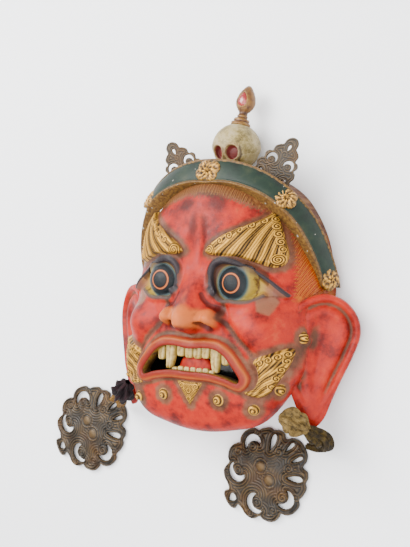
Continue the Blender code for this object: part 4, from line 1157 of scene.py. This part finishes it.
def pierced_sheet(outline, holes, pitch):
    """A flat net of small squares inside an outline and outside its holes, with its edges fitted to them."""

    def depth(x, y):
        return np.min([inside(x, y, outline)] + [-inside(x, y, hole) for hole in holes], axis=0)

    edge = np.array(outline)
    low, high = edge.min(axis=0) - pitch, edge.max(axis=0) + pitch
    counts = np.ceil((high - low) / pitch).astype(int)
    bm = bmesh.new()
    bmesh.ops.create_grid(bm, x_segments=int(counts[0]), y_segments=int(counts[1]), size=0.5)
    for v in bm.verts:
        v.co = ((v.co.x + 0.5) * counts[0] * pitch + low[0], (v.co.y + 0.5) * counts[1] * pitch + low[1], 0.0)
    centres = np.array([f.calc_center_median() for f in bm.faces])
    outside = depth(centres[:, 0], centres[:, 1]) < 0
    bmesh.ops.delete(bm, geom=[f for f, gone in zip(bm.faces[:], outside) if gone], context="FACES")
    for _ in range(2):
        rim = [v for v in bm.verts if v.is_boundary]
        x, y = np.array([v.co[:2] for v in rim]).T
        d = depth(x, y)
        gx = (depth(x + 0.05, y) - depth(x - 0.05, y)) / 0.1
        gy = (depth(x, y + 0.05) - depth(x, y - 0.05)) / 0.1
        for v, dx, dy in zip(rim, -d * gx, -d * gy):
            v.co.x += dx
            v.co.y += dy
    x, y = np.array([v.co[:2] for v in bm.verts]).T
    return bm, x, y, depth(x, y)


def thicken(bm, low, high, relief):
    """Gives the net a flat back at low and a chased front at high, both heights for each point."""
    front = bm.verts[:]
    bm.verts.index_update()
    number = {v: k for k, v in enumerate(front)}
    made = bmesh.ops.extrude_face_region(bm, geom=bm.faces[:], use_keep_orig=True)["geom"]
    raised = [v for v in made if isinstance(v, bmesh.types.BMVert)]
    where = {(round(v.co.x, 5), round(v.co.y, 5)): number[v] for v in front}
    levels = dict(zip(front, low))
    carved = dict(zip(front, np.full(len(front), -1.0)))
    for v in raised:
        k = where[(round(v.co.x, 5), round(v.co.y, 5))]
        levels[v] = high[k]
        carved[v] = relief[k]
    for v, level in levels.items():
        v.co.z = level
    bm.verts.index_update()
    return [carved[v] for v in bm.verts]


def chased(x, y, depth, scrolls, pitch=3.0):
    """Chased lines that follow the edges and wind up in scrolls, from -1 to 1."""
    relief = np.cos(2 * np.pi * (depth - 1.2) / pitch) * (1 - 0.6 * rise(7, 12, depth))
    for centre, radius, hand in scrolls:
        height, mask = spiral(x, y, centre, radius, pitch, hand)
        relief = relief + (height - relief) * mask
    return relief


# Brass under a brown oxide skin: rubbed yellow on the raised lines, nearly black in the cuts, dull
old_brass, tree, shader = new_finish("aged_brass")
where = add(tree, "TexCoord", {}, "Object")
cloud = add(tree, "TexNoise", {"Vector": where, "Scale": 48.0, "Detail": 4.0})
grit = add(tree, "TexNoise", {"Vector": where, "Scale": 380.0, "Detail": 4.0})
carving = add(tree, "Attribute", {}, "Fac", attribute_name="carving")
level = add(tree, "Math", {0: grit, 1: 1.3, 2: carving}, operation="MULTIPLY_ADD")
level = add(tree, "MapRange", {0: level, 1: -0.5, 2: 2.0})
colour = add(
    tree,
    "ValToRGB",
    {"Fac": level},
    stops=[(0.05, "#0E0907"), (0.35, "#251C14"), (0.6, "#372A18"), (0.9, "#5A4320")],
)
tone = add(tree, "ValToRGB", {"Fac": cloud}, stops=[(0.4, "#2A2A26"), (0.52, "#372B1C"), (0.65, "#4A2E0B")])
colour = add(tree, "Mix", {0: 0.35, 6: colour, 7: tone}, 2, data_type="RGBA")
tree.links.new(colour, shader.inputs["Base Color"])
shader.inputs["Metallic"].default_value = 0.5
tree.links.new(add(tree, "MapRange", {0: grit, 1: 0.3, 2: 0.7, 3: 0.38, 4: 0.6}), shader.inputs["Roughness"])
bump = add(tree, "Bump", {"Strength": 0.3, "Distance": 0.0004, "Height": grit})
tree.links.new(bump, shader.inputs["Normal"])

half, tall = CROWN_PLATE_WIDTH / 2, CROWN_PLATE_HEIGHT
right = [
    (0.90, -0.36), (1.0, -0.20), (0.92, -0.06), (1.0, 0.06), (0.92, 0.18), (0.80, 0.22), (0.87, 0.34),
    (0.76, 0.44),
]
right += [(0.62, 0.46), (0.62, 0.60), (0.46, 0.70), (0.34, 0.74), (0.30, 0.88), (0.12, 0.98)]
right = [(x * half, y * tall) for x, y in right]
plate_holes = [teardrop(0.0, 0.70 * tall, 0.16 * tall, 0.18 * half, math.pi / 2)]
plate_holes += mirrored(crescent(0.44 * half, 0.26 * tall, 0.22 * half, 0.15 * half, -0.6, 3.4))
plate_holes += mirrored(teardrop(0.62 * half, -0.10 * tall, 0.12 * tall, 0.12 * half, 0.4))
plate_outline, *plate_holes = [
    [(x + 0.16 * max(y, 0.0), y) for x, y in loop]
    for loop in (right + [(-x, y) for x, y in reversed(right)], *plate_holes)
]
plate_outline = [tuple(p) for p in smooth_loop(plate_outline, 120)]
for side, name in ((1, "crown_plate_right"), (-1, "crown_plate_left")):
    bm, x, y, depth = pierced_sheet(plate_outline, plate_holes, 0.55)
    scrolls = [((s * 0.44 * half + 2.0, 0.26 * tall), 7.5, s) for s in (1, -1)]
    scrolls += [((s * 0.62 * half, -0.12 * tall), 6.0, s) for s in (1, -1)] + [((4.0, 0.50 * tall), 5.0, 1)]
    relief = chased(x, y, depth, scrolls, 2.8)
    edge = np.sqrt(np.clip(depth / 0.7, 0, 1))
    thick = BRASS_THICKNESS / 2
    carving = thicken(
        bm, -thick * (0.4 + 0.6 * edge), thick * (0.2 + 0.5 * edge) + 0.35 * relief * edge, relief
    )
    reach = CROWN_Y - 111.0
    root_y = HAIR_CENTRE + math.cos(CROWN_PLATE_TURN) * reach
    root = Vector((math.sin(CROWN_PLATE_TURN) * reach, root_y, CROWN_PLATE_Z))
    place = Matrix.Translation(root) @ Matrix.Rotation(-CROWN_PLATE_TURN, 4, "Z")
    place = Matrix.Diagonal((side, 1.0, 1.0, 1.0)) @ place
    bmesh.ops.transform(bm, matrix=Matrix.Scale(0.001, 4) @ place, verts=bm.verts[:])
    plate = finished(bm, name + "_leaf", old_brass)
    plate.data.set_sharp_from_angle(angle=math.radians(60))
    write(plate.data, {"carving": carving})
    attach(plate, "root")
    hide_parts(name)

half, long = PENDANT_WIDTH / 2, PENDANT_LENGTH
PENDANT_HALF = [
    (0.00, 0.000), (0.16, 0.012), (0.22, 0.045), (0.19, 0.100), (0.30, 0.118), (0.44, 0.116), (0.58, 0.140),
]
PENDANT_HALF += [
    (0.64, 0.190), (0.66, 0.245), (0.76, 0.255), (0.87, 0.295), (0.92, 0.350), (0.90, 0.415), (0.86, 0.450),
]
PENDANT_HALF += [
    (0.95, 0.480), (1.00, 0.540), (0.98, 0.610), (0.93, 0.655), (0.84, 0.680), (0.82, 0.730), (0.74, 0.800),
]
PENDANT_HALF += [
    (0.64, 0.825), (0.58, 0.870), (0.46, 0.900), (0.34, 0.885), (0.29, 0.940), (0.18, 0.985), (0.00, 1.000),
]
right = [(x * half, (y - 0.5) * long) for x, y in PENDANT_HALF]
pendant_outline = [tuple(p) for p in smooth_loop(right + [(-x, y) for x, y in reversed(right[1:-1])], 200)]
pendant_holes = [teardrop(0.0, -0.42 * long, 0.09 * long, 0.22 * half, math.pi / 2)]
pendant_holes += mirrored(crescent(0.40 * half, -0.20 * long, 0.19 * half, 0.14 * half, 2.6, 6.2))
pendant_holes += mirrored(crescent(0.62 * half, 0.06 * long, 0.18 * half, 0.14 * half, -1.4, 2.0))
pendant_holes += mirrored(teardrop(0.44 * half, 0.26 * long, 0.15 * long, 0.16 * half, 0.9))
pendant_holes += mirrored(teardrop(0.15 * half, 0.38 * long, 0.11 * long, 0.10 * half, 1.4))
bosses = [(0.17, 0.04, 0.12, 0.42), (-0.17, 0.04, 0.12, 0.42)]
for side, name in ((1, "pendant_right"), (-1, "pendant_left")):
    bm, x, y, depth = pierced_sheet(pendant_outline, pendant_holes, 0.75)
    scrolls = [((s * 0.40 * half, -0.20 * long), 9.5, s) for s in (1, -1)]
    scrolls += [((s * 0.62 * half, 0.06 * long), 9.0, -s) for s in (1, -1)]
    scrolls += [((s * 0.72 * half, -0.10 * long), 6.5, s) for s in (1, -1)]
    scrolls += [((s * 0.78 * half, 0.17 * long), 6.0, s) for s in (1, -1)]
    scrolls += [((s * 0.50 * half, -0.32 * long), 6.0, -s) for s in (1, -1)]
    scrolls += [((s * 0.20 * half, 0.27 * long), 7.0, s) for s in (1, -1)]
    relief = chased(x, y, depth, scrolls, 3.4)
    relief = relief + 0.5 * np.sin(x / 5.1 + side) * np.sin(y / 6.3)
    dome = (1.0 - np.hypot(x / half, y / (long / 2)) ** 2 / 1.3) * PENDANT_DOME
    dome = np.maximum(dome, 0.0)
    edge = np.sqrt(np.clip(depth / 0.9, 0, 1))
    high = dome + BRASS_THICKNESS * (0.35 + 0.65 * edge) + 0.8 * relief * edge
    for bx, by, size, tall_share in bosses:
        away = np.hypot(x - bx * half, y - by * long) / (size * half)
        ball = np.sqrt(np.clip(1 - away**2, 0, 1))
        high = np.where(away < 1, np.maximum(high, dome + 1.2 + ball * tall_share * PENDANT_DOME), high)
        relief = np.where(away < 1, 0.2 + 0.9 * ball * (away < 0.9), relief)
        rim = hill(np.abs(away - 1.32), 0.22)
        high = high + 1.0 * rim
        relief = np.where((away >= 1) & (away < 1.6), 2.0 * rim - 1.0, relief)
    carving = thicken(bm, np.maximum(dome - 0.2, 0.0), high, relief)
    middle, turn = {1: ((43, -112), -52), -1: ((-226, -88), -58)}[side]
    place = Matrix.Translation((middle[0], middle[1], 0.0)) @ Matrix.Rotation(math.radians(turn), 4, "Z")
    bmesh.ops.transform(bm, matrix=Matrix.Scale(0.001, 4) @ place, verts=bm.verts[:])
    pendant = finished(bm, name + "_palmette", old_brass)
    pendant.data.set_sharp_from_angle(angle=math.radians(60))
    write(pendant.data, {"carving": carving})
    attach(pendant, "root")
    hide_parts(name)


# Silk ties
# Strips of thin silk gathered into a bunch between each ear lobe and its pendant: olive-beige on the right
# cheek's side, burgundy gone nearly black with an ochre knot on the other. Raw edges, crushed with age.
def gathered_strip(name, stops, turns, pleats, seed, finish):
    """A strip rolled round a path and pleated: stops are places with a radius each, all in millimetres."""
    stops = np.array(stops, float)
    bm = bmesh.new()
    bmesh.ops.create_grid(bm, x_segments=150, y_segments=44, size=1.0)
    at = np.linspace(0, 1, len(stops))
    for v in bm.verts:
        u, t = 0.5 * (v.co.x + 1), 0.5 * (v.co.y + 1)
        here = np.array([through(list(zip(at, stops[:, k])), t) for k in range(4)])
        ahead = np.array([through(list(zip(at, stops[:, k])), min(t + 0.02, 1.0)) for k in range(3)])
        behind = np.array([through(list(zip(at, stops[:, k])), max(t - 0.02, 0.0)) for k in range(3)])
        run = Vector(ahead - behind).normalized()
        across = run.cross(Vector((0, 0, 1))).normalized()
        up = across.cross(run)
        a = 2 * math.pi * turns * u
        spread = math.sin(math.pi * t)
        fold = 0.22 * math.cos(pleats * a + 1.6 * math.sin(4 * t + seed))
        fold += 0.08 * math.cos(2.3 * pleats * a + 5 * t + seed)
        fold += 0.12 * math.sin(11 * t + 3 * a + seed) * math.cos(2 * a + seed)
        radius = here[3] * (0.86 + fold * (0.6 + 0.4 * spread) - 0.10 * u)
        place = Vector(here[:3]) + across * math.cos(a) * radius + up * math.sin(a) * radius * 0.86
        place.z = max(place.z, 0.8 + 0.4 * u)
        v.co = place * 0.001
    strip = finished(bm, name, finish)
    thin = strip.modifiers.new("cloth", "SOLIDIFY")
    thin.thickness = 0.0004
    thin.offset = 0.0
    return strip


# Thin tabby silk, aged: no weave shows at this size, but fine creases along the strip and a dull sheen
silks = {}
for name, codes in (
    ("olive_silk", ("#231B0A", "#52401F", "#735D33")),
    ("burgundy_silk", ("#050304", "#11070A", "#230D11")),
    ("ochre_silk", ("#311E07", "#5C3E0E", "#73531D")),
    ("dark_olive_silk", ("#090603", "#221908", "#433412")),
):
    silk, tree, shader = new_finish(name)
    where = add(tree, "TexCoord", {}, "Object")
    crush = add(tree, "TexNoise", {"Vector": where, "Scale": 150.0, "Detail": 5.0, "Roughness": 0.65})
    thread = add(tree, "TexNoise", {"Vector": where, "Scale": 1100.0, "Detail": 2.0})
    level = add(tree, "Math", {0: thread, 1: 0.4, 2: crush}, operation="MULTIPLY_ADD")
    colour = add(
        tree, "ValToRGB", {"Fac": level}, stops=[(0.5, codes[0]), (0.68, codes[1]), (0.88, codes[2])]
    )
    tree.links.new(colour, shader.inputs["Base Color"])
    shader.inputs["Roughness"].default_value = 0.75
    shader.inputs["Specular IOR Level"].default_value = 0.15
    bump = add(tree, "Bump", {"Strength": 0.5, "Distance": 0.0008, "Height": level})
    tree.links.new(bump, shader.inputs["Normal"])
    silks[name] = silk

# Each strip's name, silk, turns, pleats, seed of its folds, and its path
ties = [
    (
        "tie_right_puff",
        "olive_silk",
        1.0,
        7,
        0.4,
        [(101, -32, 80, 4), (108, -31, 79, 11), (116, -33, 77, 14.5), (124, -38, 72, 13), (130, -43, 66, 5)],
    ),
    (
        "tie_right_bunch",
        "dark_olive_silk",
        1.0,
        6,
        2.1,
        [
            (126, -40, 68, 5),
            (133, -46, 60, 10),
            (139, -54, 46, 11),
            (133, -62, 28, 8),
            (116, -69, 13, 6),
            (100, -70, 8, 3.5),
        ],
    ),
    (
        "tie_left_puff",
        "burgundy_silk",
        1.0,
        7,
        1.3,
        [
            (-107, -10, 84, 4),
            (-112, -15, 81, 11),
            (-119, -22, 76, 14),
            (-129, -28, 68, 13),
            (-138, -33, 59, 5),
        ],
    ),
    (
        "tie_left_knot",
        "ochre_silk",
        1.0,
        5,
        3.0,
        [
            (-134, -32, 61, 5),
            (-143, -33, 53, 10),
            (-152, -35, 42, 12),
            (-162, -41, 25, 9),
            (-168, -49, 11, 4),
        ],
    ),
]
for name, silk, turns, pleats, seed, stops in ties:
    strip = gathered_strip(name, stops, turns, pleats, seed, silks[silk])
    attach(strip, "root")
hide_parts("tie_right")
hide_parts("tie_left")
